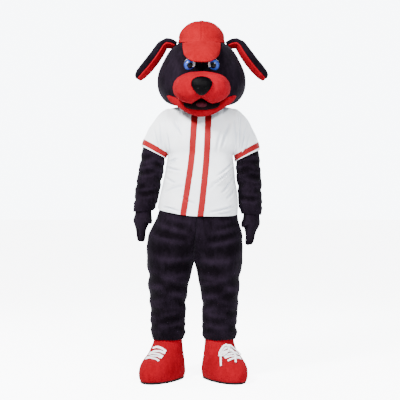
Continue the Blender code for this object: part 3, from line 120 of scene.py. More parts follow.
def set_camera():
    """A camera straight in front of the costume."""
    place = (VIEW_CENTRE[0], -CAMERA_DISTANCE, VIEW_CENTRE[1])
    bpy.ops.object.camera_add(location=place, rotation=(math.pi / 2, 0.0, 0.0))
    camera = bpy.context.object
    camera.data.sensor_width = SENSOR * MILLIMETRES
    camera.data.lens = SENSOR * MILLIMETRES * CAMERA_DISTANCE / FIELD
    bpy.context.scene.camera = camera


def set_light():
    """The studio's lamps, and a world that is dim as a light and bright as a backdrop."""
    aim = Vector(LIGHTS_AIM)
    for light in LIGHTS:
        bpy.ops.object.light_add(type="AREA", location=light["place"])
        lamp = bpy.context.object
        lamp.name = light["name"]
        lamp.data.shape = "DISK"
        lamp.data.size = light["size"]
        lamp.data.energy = light["power"]
        lamp.data.color = light["colour"]
        lamp.rotation_euler = (aim - lamp.location).to_track_quat("-Z", "Y").to_euler()
    world = bpy.data.worlds.new("studio")
    world.use_nodes = True
    sky = world.node_tree.nodes["Background"]
    feed(world, WORLD_COLOUR, sky.inputs["Color"])
    link(world, brighter_behind(world, WORLD_LIGHT, BACKDROP), sky.inputs["Strength"])
    bpy.context.scene.world = world


def brighter_behind(finish, lit, seen):
    """A strength with one value for the light that it casts and another where it is seen as the backdrop."""
    path = add_node(finish, "ShaderNodeLightPath")
    return ranged(finish, path.outputs["Is Camera Ray"], (0.0, 1.0), (lit, seen))


def set_floor():
    """A wide pale floor under the soles, a little darker than the backdrop."""
    bpy.ops.mesh.primitive_plane_add(size=FLOOR_SIZE, location=(0.0, 0.0, FLOOR))
    floor = bpy.context.object
    floor.name = "studio_floor"
    finish = new_finish("studio_floor", FLOOR_COLOUR, FLOOR_ROUGHNESS[1], Emission_Color=(*FLOOR_GLOW, 1.0))
    drive(finish, "Emission Strength", brighter_behind(finish, 0.0, BACKDROP * FLOOR_SHARE))
    mottle = noise_at(finish, coordinates(finish), *FLOOR_MOTTLE)
    drive(finish, "Roughness", ranged(finish, mottle, (0.3, 0.7), FLOOR_ROUGHNESS))
    floor.data.materials.append(finish)


# ------------------------------------------------------------
# Finishes
# ------------------------------------------------------------

COLOUR = "NodeSocketColor"
NUMBER = "NodeSocketFloat"
VECTOR = "NodeSocketVector"

# How far a finish's bumps stand up: the plush's pile, the yarns of cloth, and the grain of a moulding.
PILE_RISE = 0.004
YARN_RISE = 0.0008
GRAIN_RISE = 0.0006

# Noises: how many swells to a metre, their detail, their roughness and, in lying pile, their stretch.
PATCHES = (9.0, 4.0, 0.62, (1.0, 1.0, 0.6))
STROKES = (60.0, 3.0, 0.6, (1.0, 1.0, 0.35))
TUFTS = (420.0, 2.0, 0.6, (1.0, 1.0, 0.5))
CLOUDS = (14.0, 3.0)
FINE_GRAIN = (700.0, 2.0)
SLOW_GRAIN = (30.0, 3.0)
FLOOR_MOTTLE = (1.4, 2.0)
IRIS_STREAKS = (9.0, 3.0)

PILE_ROUGHNESS = 0.9
BRUSHED_ROUGHNESS = (0.95, 0.78)

# The sewn line above a hem: its distance from the hem, how far it reaches to each side, and its dip.
HEM_DEPTH = 0.018
STITCH_REACH = 0.0016
STITCH_DIP = -2.4

# The kept fold value at which a trough has its full painted shade.
DEEP_FOLD = -0.38

# An iris's rings, as shares of its radius.
PUPIL_EDGE = (0.47, 0.53)
RIM_EDGE = (0.80, 0.96)

PILE_TINT = (0.52, 0.46, 0.60)
RED_TINT = (1.0, 0.30, 0.30)
FELT_TINT = (0.5, 0.3, 0.3)
# The painted shade that a cloth's fold troughs are mixed towards: duller and cooler.
PAINTED_TROUGH_SHADE = (0.50, 0.54, 0.64)
IRIS_COLOURS = {
    "pupil": (0.0010, 0.0010, 0.0015),
    "inner": (0.010, 0.028, 0.24),
    "outer": (0.040, 0.105, 0.52),
    "rim": (0.002, 0.004, 0.04),
}


def add_node(finish, kind, **values):
    """A node in a material or a group, with the named inputs set."""
    tree = getattr(finish, "node_tree", None) or finish
    made = tree.nodes.new(kind)
    for name, value in values.items():
        made.inputs[name.replace("_", " ")].default_value = value
    return made


def link(finish, start, end):
    """Joins one node's output to another's input."""
    tree = getattr(finish, "node_tree", None) or finish
    tree.links.new(start, end)


def feed(finish, value, socket):
    """Sets an input to a plain number or a colour, or joins it to another node's output."""
    if isinstance(value, (int, float)):
        socket.default_value = value
    elif isinstance(value, tuple):
        socket.default_value = (*value, 1.0)
    else:
        link(finish, value, socket)


def shader_of(finish):
    """The shader that gives a material its looks."""
    return finish.node_tree.nodes["Principled BSDF"]


def drive(finish, label, value):
    """Joins a value to one of the shader's inputs."""
    link(finish, value, shader_of(finish).inputs[label])


def coordinates(finish):
    """Each point's place in the piece's own frame."""
    return add_node(finish, "ShaderNodeTexCoord").outputs["Object"]


def kept_value(finish, label):
    """The number that a piece keeps on its points under this label."""
    keeper = add_node(finish, "ShaderNodeAttribute")
    keeper.attribute_name = label
    return keeper.outputs["Fac"]


def ranged(finish, value, source, result):
    """A value carried from the source range to the result range, and held at its ends."""
    spread = add_node(finish, "ShaderNodeMapRange")
    for label, bound in zip(("From Min", "From Max", "To Min", "To Max"), (*source, *result)):
        feed(finish, bound, spread.inputs[label])
    link(finish, value, spread.inputs["Value"])
    return spread.outputs["Result"]


def mixed(finish, factor, low, high):
    """A colour between two others."""
    mix = add_node(finish, "ShaderNodeMix")
    mix.data_type = "RGBA"
    for wanted, value in (("A_Color", low), ("B_Color", high)):
        feed(finish, value, next(entry for entry in mix.inputs if entry.identifier == wanted))
    link(finish, factor, mix.inputs[0])
    return next(entry for entry in mix.outputs if entry.identifier == "Result_Color")


def math_node(group, operation, first, second):
    """One calculation with two terms."""
    node = add_node(group, "ShaderNodeMath")
    node.operation = operation
    for socket, value in zip(node.inputs, (first, second)):
        feed(group, value, socket)
    return node.outputs[0]


def weighted(group, first, weight, second, other_weight):
    """Two values added up, each times its own weight."""
    terms = [math_node(group, "MULTIPLY", *pair) for pair in ((first, weight), (second, other_weight))]
    return math_node(group, "ADD", *terms)


def vector_node(finish, operation, vector):
    """One operation on a vector."""
    node = add_node(finish, "ShaderNodeVectorMath")
    node.operation = operation
    link(finish, vector, node.inputs[0])
    return node


def noise_at(group, vector, scale, detail, roughness=0.5, stretch=None):
    """A noise, its coordinates stretched where the pile lies down."""
    if stretch is not None:
        mapping = add_node(group, "ShaderNodeMapping")
        mapping.inputs["Scale"].default_value = stretch
        link(group, vector, mapping.inputs["Vector"])
        vector = mapping.outputs["Vector"]
    cloud = add_node(group, "ShaderNodeTexNoise", Scale=scale, Detail=detail, Roughness=roughness)
    link(group, vector, cloud.inputs["Vector"])
    return cloud.outputs["Fac"]


def new_finish(name, colour, roughness, **values):
    """A material whose shader has these plain values."""
    finish = bpy.data.materials.new(name)
    finish.use_nodes = True
    finish.diffuse_color = (*colour, 1.0)
    shader = shader_of(finish)
    shader.inputs["Base Color"].default_value = (*colour, 1.0)
    shader.inputs["Roughness"].default_value = roughness
    for key, value in values.items():
        shader.inputs[key.replace("_", " ")].default_value = value
    return finish


def group_of(name, inputs, outputs):
    """An empty node group with these inputs, as name, kind and value, and these outputs, as name and kind."""
    group = bpy.data.node_groups.new(name, "ShaderNodeTree")
    for label, kind, value in inputs:
        socket = group.interface.new_socket(label, in_out="INPUT", socket_type=kind)
        if value is not None:
            socket.default_value = value
    for label, kind in outputs:
        group.interface.new_socket(label, in_out="OUTPUT", socket_type=kind)
    return group, group.nodes.new("NodeGroupInput"), group.nodes.new("NodeGroupOutput")


def make_pile_group():
    """Plush pile: a painted sheen of lighter tips in brushed patches, and a short, uneven nap."""
    group, start, end = group_of(
        "plush_pile",
        [
            ("Vector", VECTOR, None),
            ("Root", COLOUR, (0.0, 0.0, 0.0, 1.0)),
            ("Tip", COLOUR, (1.0, 1.0, 1.0, 1.0)),
            ("Brushed", NUMBER, 0.5),
            ("Lift", NUMBER, 0.0),
        ],
        [("Color", COLOUR), ("Roughness", NUMBER), ("Height", NUMBER)],
    )
    vector = start.outputs["Vector"]
    patches = noise_at(group, vector, *PATCHES)
    strokes = noise_at(group, vector, *STROKES)
    tufts = noise_at(group, vector, *TUFTS)
    brushed = ranged(group, patches, (0.42, 0.72), (0.0, 1.0))
    streaks = ranged(group, strokes, (0.35, 0.70), (0.0, 1.0))
    speckle = math_node(group, "MULTIPLY", math_node(group, "SUBTRACT", tufts, 0.5), 0.9)
    share = math_node(group, "ADD", weighted(group, brushed, 0.65, streaks, 0.35), speckle)
    share = math_node(group, "MULTIPLY", share, start.outputs["Brushed"])
    # Painted light on fold lips and painted shade in fold troughs, mixed towards the tip or the root colour.
    share = math_node(group, "ADD", share, start.outputs["Lift"])
    clamp = add_node(group, "ShaderNodeClamp")
    link(group, share, clamp.inputs["Value"])
    colour = mixed(group, clamp.outputs["Result"], start.outputs["Root"], start.outputs["Tip"])
    link(group, colour, end.inputs["Color"])
    link(group, ranged(group, brushed, (0.0, 1.0), BRUSHED_ROUGHNESS), end.inputs["Roughness"])
    link(group, weighted(group, tufts, 0.55, strokes, 0.45), end.inputs["Height"])


def make_weave_group():
    """Fine cloth: two crossing sets of yarns, with a faint cloudiness where the cloth has been handled."""
    group, start, end = group_of(
        "fine_weave",
        [
            ("Vector", VECTOR, None),
            ("Light", COLOUR, (1.0, 1.0, 1.0, 1.0)),
            ("Shade", COLOUR, (0.8, 0.8, 0.8, 1.0)),
            ("Yarn Scale", NUMBER, 600.0),
        ],
        [("Color", COLOUR), ("Height", NUMBER)],
    )
    vector = start.outputs["Vector"]
    yarns = []
    for direction in ("X", "Z"):
        wave = add_node(group, "ShaderNodeTexWave", Distortion=0.6, Detail=1.0)
        wave.bands_direction = direction
        link(group, vector, wave.inputs["Vector"])
        link(group, start.outputs["Yarn Scale"], wave.inputs["Scale"])
        yarns.append(wave.outputs["Fac"])
    weave = math_node(group, "MULTIPLY", *yarns)
    clouds = noise_at(group, vector, *CLOUDS)
    spread = ranged(group, weighted(group, weave, 0.30, clouds, 0.70), (0.30, 0.62), (1.0, 0.0))
    link(group, mixed(group, spread, start.outputs["Light"], start.outputs["Shade"]), end.inputs["Color"])
    link(group, weighted(group, weave, 1.0, clouds, 0.4), end.inputs["Height"])


def make_grain_group():
    """Moulded surface: a fine, even grain over a slow unevenness."""
    group, start, end = group_of(
        "moulded_grain",
        [("Vector", VECTOR, None), ("Low", NUMBER, 0.4), ("High", NUMBER, 0.6)],
        [("Roughness", NUMBER), ("Height", NUMBER)],
    )
    vector = start.outputs["Vector"]
    fine = noise_at(group, vector, *FINE_GRAIN)
    slow = noise_at(group, vector, *SLOW_GRAIN)
    roughness = ranged(group, slow, (0.3, 0.7), (start.outputs["Low"], start.outputs["High"]))
    link(group, roughness, end.inputs["Roughness"])
    link(group, weighted(group, fine, 1.0, slow, 0.5), end.inputs["Height"])


def shared_effect(finish, name, **values):
    """A shared group in a finish, with the named inputs set, over the piece's own frame."""
    effect = add_node(finish, "ShaderNodeGroup")
    effect.node_tree = bpy.data.node_groups[name]
    for label, value in values.items():
        feed(finish, value, effect.inputs[label.replace("_", " ")])
    link(finish, coordinates(finish), effect.inputs["Vector"])
    return effect.outputs


def raise_bump(finish, height, strength, distance):
    """Lets a height stand up from the surface."""
    bump = add_node(finish, "ShaderNodeBump", Strength=strength, Distance=distance)
    link(finish, height, bump.inputs["Height"])
    drive(finish, "Normal", bump.outputs["Normal"])


def plush(name, root, tip, sheen, tint, brushed, bump):
    """A plush finish; the sheen's tint is the colour of light that grazes the pile."""
    finish = new_finish(
        name,
        root,
        PILE_ROUGHNESS,
        Sheen_Weight=sheen,
        Sheen_Roughness=0.42,
        Sheen_Tint=(*tint, 1.0),
        Specular_IOR_Level=0.05,
    )
    # The fold value: painted light on lips and painted shade in troughs, mixed into the pile's colour.
    lift = kept_value(finish, "fold")
    pile = shared_effect(finish, "plush_pile", Root=root, Tip=tip, Brushed=brushed, Lift=lift)
    drive(finish, "Base Color", pile["Color"])
    drive(finish, "Roughness", pile["Roughness"])
    raise_bump(finish, pile["Height"], bump, PILE_RISE)
    return finish


def woven(name, light, shade, roughness, sheen, yarn_scale, bump=0.12, hem=None):
    """A cloth finish; with a hem, the cloth has a sewn line above it and painted shade in its troughs."""
    finish = new_finish(
        name, light, roughness, Sheen_Weight=sheen, Sheen_Roughness=0.3, Specular_IOR_Level=0.2
    )
    weave = shared_effect(finish, "fine_weave", Light=light, Shade=shade, Yarn_Scale=yarn_scale)
    colour, height = weave["Color"], weave["Height"]
    if hem is not None:
        height = math_node(finish, "ADD", height, stitch_line(finish, hem))
        # Painted shade: the cloth turns duller and cooler down in a fold's trough.
        trough = ranged(finish, kept_value(finish, "fold"), (0.0, DEEP_FOLD), (0.0, 1.0))
        colour = mixed(finish, trough, colour, PAINTED_TROUGH_SHADE)
    drive(finish, "Base Color", colour)
    raise_bump(finish, height, bump, YARN_RISE)
    return finish


def stitch_line(finish, hem):
    """A sewn line at a depth above a hem, from how far each point of the cloth is from it."""
    above = math_node(finish, "SUBTRACT", kept_value(finish, "hem"), hem)
    away = math_node(finish, "ABSOLUTE", above, 0.0)
    return ranged(finish, away, (0.0, STITCH_REACH), (STITCH_DIP, 0.0))


def moulded(name, colour, low, high, bump, coat=0.0, specular=0.5):
    """A moulded finish, its roughness between a low and a high value."""
    finish = new_finish(name, colour, low, Coat_Weight=coat, Coat_Roughness=0.06, Specular_IOR_Level=specular)
    grain = shared_effect(finish, "moulded_grain", Low=low, High=high)
    drive(finish, "Roughness", grain["Roughness"])
    raise_bump(finish, grain["Height"], bump, GRAIN_RISE)
    return finish


def ringed(name, pupil, inner, outer, rim):
    """An eye's coloured disc on its own flat map: a pupil, streaks that run outwards and a dark rim."""
    finish = new_finish(name, outer, 0.4, Coat_Weight=0.15, Coat_Roughness=0.04, Specular_IOR_Level=0.15)
    flat = add_node(finish, "ShaderNodeUVMap")
    flat.uv_map = "rings"
    far = vector_node(finish, "LENGTH", flat.outputs["UV"]).outputs["Value"]
    direction = vector_node(finish, "NORMALIZE", flat.outputs["UV"]).outputs["Vector"]
    streaks = ranged(finish, noise_at(finish, direction, *IRIS_STREAKS), (0.35, 0.65), (0.0, 1.0))
    coloured = mixed(finish, streaks, inner, outer)
    rimmed = mixed(finish, ranged(finish, far, RIM_EDGE, (0.0, 1.0)), coloured, rim)
    drive(finish, "Base Color", mixed(finish, ranged(finish, far, PUPIL_EDGE, (0.0, 1.0)), pupil, rimmed))
    return finish


def make_finishes():
    """Every finish of the costume, by the name of its slot, over the shared effects that they use."""
    make_pile_group()
    make_weave_group()
    make_grain_group()
    return {
        "plush_black": plush(
            "black_plush",
            root=(0.0012, 0.0003, 0.0014),
            tip=(0.0150, 0.0088, 0.0180),
            sheen=0.05,
            tint=PILE_TINT,
            brushed=0.55,
            bump=0.5,
        ),
        "plush_red": plush(
            "red_plush",
            root=(0.180, 0.0, 0.0040),
            tip=(0.310, 0.0006, 0.0095),
            sheen=0.02,
            tint=RED_TINT,
            brushed=0.8,
            bump=0.45,
        ),
        "cap_red": plush(
            "cap_plush",
            root=(0.19, 0.0006, 0.0036),
            tip=(0.285, 0.0030, 0.0080),
            sheen=0.03,
            tint=RED_TINT,
            brushed=1.0,
            bump=0.3,
        ),
        "jersey_white": woven(
            "jersey_knit",
            light=(0.95, 0.96, 0.98),
            shade=(0.88, 0.91, 0.96),
            roughness=0.45,
            sheen=0.10,
            yarn_scale=260.0,
            hem=HEM_DEPTH,
        ),
        "band_red": woven(
            "band_knit",
            light=(0.255, 0.0003, 0.0036),
            shade=(0.205, 0.0, 0.0026),
            roughness=0.7,
            sheen=0.0,
            yarn_scale=260.0,
        ),
        "nose_black": moulded(
            "nose_moulding", (0.0004, 0.0002, 0.0006), 0.50, 0.62, bump=0.18, specular=0.05
        ),
        "mouth_dark": plush(
            "mouth_felt",
            root=(0.002, 0.0004, 0.0008),
            tip=(0.007, 0.0010, 0.002),
            sheen=0.02,
            tint=FELT_TINT,
            brushed=0.6,
            bump=0.2,
        ),
        "tongue_red": plush(
            "tongue_felt",
            root=(0.035, 0.0030, 0.008),
            tip=(0.065, 0.007, 0.014),
            sheen=0.04,
            tint=FELT_TINT,
            brushed=0.6,
            bump=0.2,
        ),
        "sole_black": moulded("sole_rubber", (0.003, 0.002, 0.0035), 0.60, 0.78, bump=0.25, specular=0.15),
        "lace_white": woven(
            "lace_weave",
            light=(0.95, 0.955, 0.97),
            shade=(0.86, 0.88, 0.92),
            roughness=0.7,
            sheen=0.15,
            yarn_scale=520.0,
            bump=0.4,
        ),
        "eye_white": moulded("eye_plastic", (0.90, 0.905, 0.91), 0.10, 0.18, bump=0.01, coat=0.6),
        "eye_blue": ringed("iris_plastic", **IRIS_COLOURS),
    }


# ------------------------------------------------------------
# Shaping
# ------------------------------------------------------------

MERGE = 0.00002
LAYER_CORNER = 48.0
STRIP_SPAN = 1.5
FULL_TURN = 2.0 * math.pi

# A face lies under a solid, and not beside it, when the way to it is by this share along its normal.
SQUARE_SHARE = 0.8

# A fold has a trough and beside it a lip, which starts and spreads in half widths of the trough and stands
# up by a share of its depth. The taper says how fast a fold fades towards its ends.
LIP_START = 0.6
LIP_WIDTH = 1.4
LIP_HEIGHT = 0.45
FOLD_TAPER = 0.7
PLUSH_RELIEF = 0.78

# Kept fold value: painted light added on a lip, painted shade taken off in a trough, in full from a depth on.
FOLD_LIGHT = 0.24
FOLD_SHADE = 0.26
FOLD_LIMITS = (-1.0, 0.7)
FULL_DEPTH = 0.005

# A seam: how far it reaches, in half widths, how much and where the cloth fills out beside it, and how
# fast its puckers follow each other along x, y and z.
SEAM_REACH = 3.0
SEAM_FILL = 0.4
SEAM_FILL_AT = 1.7
PUCKERS = (260.0, 190.0, 310.0)

# How far each seed moves the unevenness along x, y and z.
SEED_STEPS = (3.1, 1.7, 2.3)

# How far the body reaches from a limb's middle, and a distance at which nothing of the costume is left.
BODY_REACH = 0.6
OFF_BODY = 1.0


def pick(piece):
    """Selects one piece alone."""
    bpy.ops.object.select_all(action="DESELECT")
    piece.select_set(True)
    bpy.context.view_layer.objects.active = piece


def read_all(items, label, width=1, kind=float):
    """One value of every item in a mesh, in rows when it has several numbers."""
    values = np.empty(len(items) * width, dtype=kind)
    items.foreach_get(label, values)
    return values.reshape(-1, width) if width > 1 else values


def points_of(piece):
    """The places of a piece's points."""
    return read_all(piece.data.vertices, "co", 3)


def set_points(piece, places):
    """Moves a piece's points to these places."""
    piece.data.vertices.foreach_set("co", np.ascontiguousarray(places).ravel())
    piece.data.update()


def normals_of(piece):
    """The way that a piece faces at each of its points."""
    return read_all(piece.data.vertices, "normal", 3)


def edges_of(piece):
    """The two points at the ends of each edge."""
    return read_all(piece.data.edges, "vertices", 2, int)


def apply_modifiers(piece):
    """Turns what a piece's modifiers show into its own shape."""
    pick(piece)
    for modifier in list(piece.modifiers):
        bpy.ops.object.modifier_apply(modifier=modifier.name)


def copy_of(node, name, paired=True):
    """A copy of a solid as a new piece, its loose triangles merged and, if asked, paired back into quads."""
    piece = bpy.data.objects.new(name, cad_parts[node].data.copy())
    piece.data.materials.clear()
    bpy.context.scene.collection.objects.link(piece)
    pick(piece)
    bpy.ops.mesh.customdata_custom_splitnormals_clear()
    bpy.ops.object.mode_set(mode="EDIT")
    bpy.ops.mesh.select_all(action="SELECT")
    bpy.ops.mesh.remove_doubles(threshold=MERGE)
    bpy.ops.mesh.faces_shade_smooth()
    bpy.ops.mesh.mark_sharp(clear=True)
    bpy.ops.object.mode_set(mode="OBJECT")
    if paired:
        pair_triangles(piece)
    return piece


def pair_triangles(piece):
    """Dissolves every edge that is the longest one of both its triangles: it is a quad's diagonal."""
    places = points_of(piece)
    ends = edges_of(piece)
    lengths = np.linalg.norm(places[ends[:, 0]] - places[ends[:, 1]], axis=1)
    longest = np.zeros(len(ends), dtype=int)
    for face in piece.data.polygons:
        around = [piece.data.loops[key].edge_index for key in face.loop_indices]
        longest[max(around, key=lambda edge: lengths[edge])] += 1
    select_items(piece, "EDGE", piece.data.edges, longest == 2)
    bpy.ops.mesh.dissolve_edges(use_verts=False)
    bpy.ops.mesh.select_all(action="SELECT")
    bpy.ops.mesh.tris_convert_to_quads(face_threshold=math.radians(70.0), shape_threshold=math.radians(60.0))
    bpy.ops.object.mode_set(mode="OBJECT")


def merge_points(piece, reach):
    """Merges the points of a piece that lie closer together than reach."""
    pick(piece)
    bpy.ops.object.mode_set(mode="EDIT")
    bpy.ops.mesh.select_all(action="SELECT")
    bpy.ops.mesh.remove_doubles(threshold=reach)
    bpy.ops.object.mode_set(mode="OBJECT")


def select_corners(piece, angle):
    """Selects the edges where faces meet at more than this many degrees, and stays in edit mode."""
    pick(piece)
    bpy.ops.object.mode_set(mode="EDIT")
    bpy.ops.mesh.select_mode(type="EDGE")
    bpy.ops.mesh.select_all(action="DESELECT")
    bpy.ops.mesh.edges_select_sharp(sharpness=math.radians(angle))


def select_items(piece, kind, items, chosen):
    """Selects the edges or the faces in a mask and nothing else, and leaves the piece in edit mode."""
    pick(piece)
    bpy.ops.object.mode_set(mode="EDIT")
    bpy.ops.mesh.select_mode(type=kind)
    bpy.ops.mesh.select_all(action="DESELECT")
    bpy.ops.object.mode_set(mode="OBJECT")
    items.foreach_set("select", np.asarray(chosen, dtype=bool))
    bpy.ops.object.mode_set(mode="EDIT")


def cut_away(piece, chosen):
    """Deletes the faces in a mask."""
    select_items(piece, "FACE", piece.data.polygons, chosen)
    bpy.ops.mesh.delete(type="FACE")
    bpy.ops.object.mode_set(mode="OBJECT")


def area_of(piece):
    """The area of all of a piece's faces."""
    return read_all(piece.data.polygons, "area").sum()


def faces_outwards(piece):
    """Whether a skin's faces look away from its middle rather than towards it."""
    faces = piece.data.polygons
    centres = read_all(faces, "center", 3)
    normals = read_all(faces, "normal", 3)
    areas = read_all(faces, "area")
    middle = np.average(centres, axis=0, weights=areas)
    return float((areas * ((centres - middle) * normals).sum(axis=1)).sum()) > 0.0


def spots_of(piece):
    """A piece's places in whole steps of the merging distance, for finding the ones that coincide."""
    return [tuple(place) for place in np.round(points_of(piece) / MERGE).astype(int)]


def is_strip(face, spots, other, places, wall):
    """Whether a face has a side that runs through the wall, from one layer's points to the other's."""
    corners = list(face.vertices)
    for start, end in zip(corners, corners[1:] + corners[:1]):
        through = (spots[start] in other) != (spots[end] in other)
        if through and np.linalg.norm(places[start] - places[end]) < STRIP_SPAN * wall:
            return True
    return False


def skin_of(node, name, wall):
    """The outer face of a solid's wall: its two faces and the strips along its edges part at the corners."""
    piece = copy_of(node, name, paired=False)
    select_corners(piece, LAYER_CORNER)
    bpy.ops.mesh.edge_split(type="EDGE")
    bpy.ops.mesh.select_all(action="SELECT")
    bpy.ops.mesh.separate(type="LOOSE")
    bpy.ops.object.mode_set(mode="OBJECT")
    layers = sorted(bpy.context.selected_objects, key=area_of, reverse=True)
    outer, inner = layers[:2] if faces_outwards(layers[0]) else layers[1::-1]
    other = set(spots_of(inner))
    for layer in layers:
        layer.select_set(not other.intersection(spots_of(layer)) or layer is outer)
        if not layer.select_get():
            bpy.data.objects.remove(layer, do_unlink=True)
    bpy.context.view_layer.objects.active = outer
    bpy.ops.object.join()
    outer.name = name
    merge_points(outer, MERGE)
    spots, places = spots_of(outer), points_of(outer)
    cut_away(outer, [is_strip(face, spots, other, places, wall) for face in outer.data.polygons])
    pair_triangles(outer)
    return outer


def mark(piece, label, chosen, value=1):
    """Writes a number on the chosen faces, which stays on them as they are rounded."""
    if label not in piece.data.attributes:
        piece.data.attributes.new(label, "INT", "FACE")
    layer = piece.data.attributes[label].data
    for index, wanted in enumerate(chosen):
        if wanted:
            layer[index].value = value


def numbered_skin(node, number, wall):
    """The outer face of a solid's wall, with the number of its panel on every face."""
    skin = skin_of(node, f"{node}_skin", wall)
    mark(skin, "panel", [True] * len(skin.data.polygons), number)
    return skin


def marked(piece, label):
    """The number that was written on each face."""
    return read_all(piece.data.attributes[label].data, "value", kind=int)


def tree_of(piece):
    """A piece's surface, for finding places on it."""
    places = [tuple(point) for point in points_of(piece)]
    return BVHTree.FromPolygons(places, [tuple(face.vertices) for face in piece.data.polygons])


def faces_under(piece, node, reach):
    """The faces whose middles lie close under a solid that rests on them, not beside it."""
    tree = tree_of(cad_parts[node])
    under = []
    for face in piece.data.polygons:
        spot, _, _, away = tree.find_nearest(face.center)
        squarely = abs((spot - face.center).dot(face.normal)) > SQUARE_SHARE * away
        under.append(away < reach and squarely)
    return under


def joined(pieces, name, merge=SEAM_GAP):
    """Several skins as one, sewn together where their edges meet."""
    bpy.ops.object.select_all(action="DESELECT")
    for piece in pieces:
        piece.select_set(True)
    bpy.context.view_layer.objects.active = pieces[0]
    bpy.ops.object.join()
    whole = bpy.context.object
    whole.name = name
    merge_points(whole, merge)
    return whole


def round_off(piece, levels, fit_steps=3):
    """Rounds a coarse piece, its cage moved out until the rounded form passes through its own points."""
    rounding = piece.modifiers.new("rounding", "SUBSURF")
    rounding.levels = levels
    rounding.render_levels = levels
    rounding.boundary_smooth = "PRESERVE_CORNERS"
    wanted = points_of(piece)
    cage = wanted.copy()
    for _ in range(fit_steps):
        shown = piece.evaluated_get(bpy.context.evaluated_depsgraph_get())
        cage += wanted - points_of(shown)[: len(wanted)]
        set_points(piece, cage)
    apply_modifiers(piece)


def give_wall(piece, wall, outwards=False):
    """Makes a skin as thick as its cloth, inwards or outwards."""
    solidify = piece.modifiers.new("wall", "SOLIDIFY")
    solidify.thickness = wall
    solidify.offset = 1.0 if outwards else -1.0
    apply_modifiers(piece)


def soften(piece, factor, repeats):
    """Rubs a piece's corners round."""
    smooth = piece.modifiers.new("smooth", "SMOOTH")
    smooth.factor = factor
    smooth.iterations = repeats
    apply_modifiers(piece)


def remeshed(piece, size):
    """Gives a piece small even faces."""
    remesh = piece.modifiers.new("remesh", "REMESH")
    remesh.mode = "VOXEL"
    remesh.voxel_size = size
    remesh.use_smooth_shade = True
    apply_modifiers(piece)


def finish_piece(piece, finishes, slot, *nodes, smooth_angle=None):
    """Gives a piece its finish and hides the solids that it stands for."""
    piece.data.materials.clear()
    piece.data.materials.append(finishes[slot])
    pick(piece)
    if smooth_angle is None:
        bpy.ops.object.shade_smooth()
    else:
        bpy.ops.object.shade_smooth_by_angle(angle=math.radians(smooth_angle))
    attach(piece, "root")
    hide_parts(*nodes)


def distance_to_line(places, line):
    """How far each place is from a route of points, and how far along the route it is, from 0 to 1."""
    best = np.full(len(places), np.inf)
    along = np.zeros(len(places))
    spans = len(line) - 1
    for index in range(spans):
        start, step = line[index], line[index + 1] - line[index]
        share = np.clip((places - start) @ step / max(step @ step, 1e-12), 0.0, 1.0)
        away = np.linalg.norm(places - start - share[:, None] * step, axis=1)
        nearer = away < best
        best[nearer] = away[nearer]
        along[nearer] = (index + share[nearer]) / spans
    return best, along


def press_fold(piece, line, half_width, depth):
    """A soft trough along a line, fading at both ends, with the cloth raised a little on each side of it."""
    places = points_of(piece)
    reach = (LIP_START + LIP_WIDTH) * half_width
    low, high = line.min(axis=0) - reach, line.max(axis=0) + reach
    inside = np.all((places > low) & (places < high), axis=1)
    away, along = distance_to_line(places[inside], line)
    share = away / half_width
    trough = np.cos(np.clip(share, 0.0, 1.0) * math.pi / 2) ** 2
    lip = np.sin(np.clip(share - LIP_START, 0.0, LIP_WIDTH) * math.pi / LIP_WIDTH) ** 2
    fade = np.sin(np.clip(along, 0.0, 1.0) * math.pi) ** FOLD_TAPER
    rise = (LIP_HEIGHT * lip - trough) * depth * fade
    places[inside] += normals_of(piece)[inside] * rise[:, None]
    set_points(piece, places)
    # Painted light on the lips and painted shade in the trough.
    light = (FOLD_LIGHT * lip - FOLD_SHADE * trough) * fade
    paint_fold_light_and_shade(piece, inside, light * min(depth / FULL_DEPTH, 1.0))


def paint_fold_light_and_shade(piece, inside, amount):
    """Adds painted light on a fold's ridges and painted shade in its trough, kept on the piece's points."""
    if "fold" not in piece.data.attributes:
        piece.data.attributes.new("fold", "FLOAT", "POINT")
    layer = piece.data.attributes["fold"].data
    values = read_all(layer, "value", kind=np.float32)
    values[inside] = np.clip(values[inside] + amount, *FOLD_LIMITS)
    layer.foreach_set("value", values)


def met_places(tree, rays, reach):
    """The places where rays, each a start and a direction, first meet a surface."""
    met = [tree.ray_cast(start, direction, reach)[0] for start, direction in rays]
    return np.array([tuple(place) for place in met if place is not None])


def sagged(bow, share):
    """How far a line that bows in its middle is off its straight course, at a share of its length."""
    return bow * 4.0 * share * (1.0 - share)


def surface_line(tree, axis, start, end, rise, bow, steps=14):
    """A line on a limb or the body: between two azimuths at a height, climbing by rise and bowed by bow."""
    rays = []
    for share in np.linspace(0.0, 1.0, steps):
        azimuth = math.radians(start[0] + (end - start[0]) * share)
        height = start[1] + rise * (share - 0.5) + sagged(bow, share)
        outwards = Vector((math.sin(azimuth), -math.cos(azimuth), 0.0))
        rays.append((Vector((*axis(height), height)), outwards))
    return met_places(tree, rays, BODY_REACH)


def press_folds(piece, tree, axis, folds, shift=0.0):
    """Folds given by their height and the azimuths that they run between, all moved up by the shift."""
    for fold in folds:
        start = (fold["azimuth_from"], fold["height"] + shift)
        line = surface_line(tree, axis, start, fold["azimuth_to"], fold["rise"], fold["bow"])
        if len(line) > 2:
            press_fold(piece, line, fold["half_width"], PLUSH_RELIEF * fold["depth"])


def seam_points(piece, label):
    """The places where faces with different marks meet."""
    values = marked(piece, label)
    first = {}
    seams = set()
    for face, value in zip(piece.data.polygons, values):
        for vertex in face.vertices:
            if first.setdefault(vertex, value) != value:
                seams.add(vertex)
    return points_of(piece)[sorted(seams)]


def uses_of_edges(piece):
    """How many faces share each edge."""
    used = np.zeros(len(piece.data.edges), dtype=int)
    for face in piece.data.polygons:
        for key in face.loop_indices:
            used[piece.data.loops[key].edge_index] += 1
    return used


def edge_points(piece):
    """The places along a skin's open edges."""
    return points_of(piece)[np.unique(edges_of(piece)[uses_of_edges(piece) == 1])]


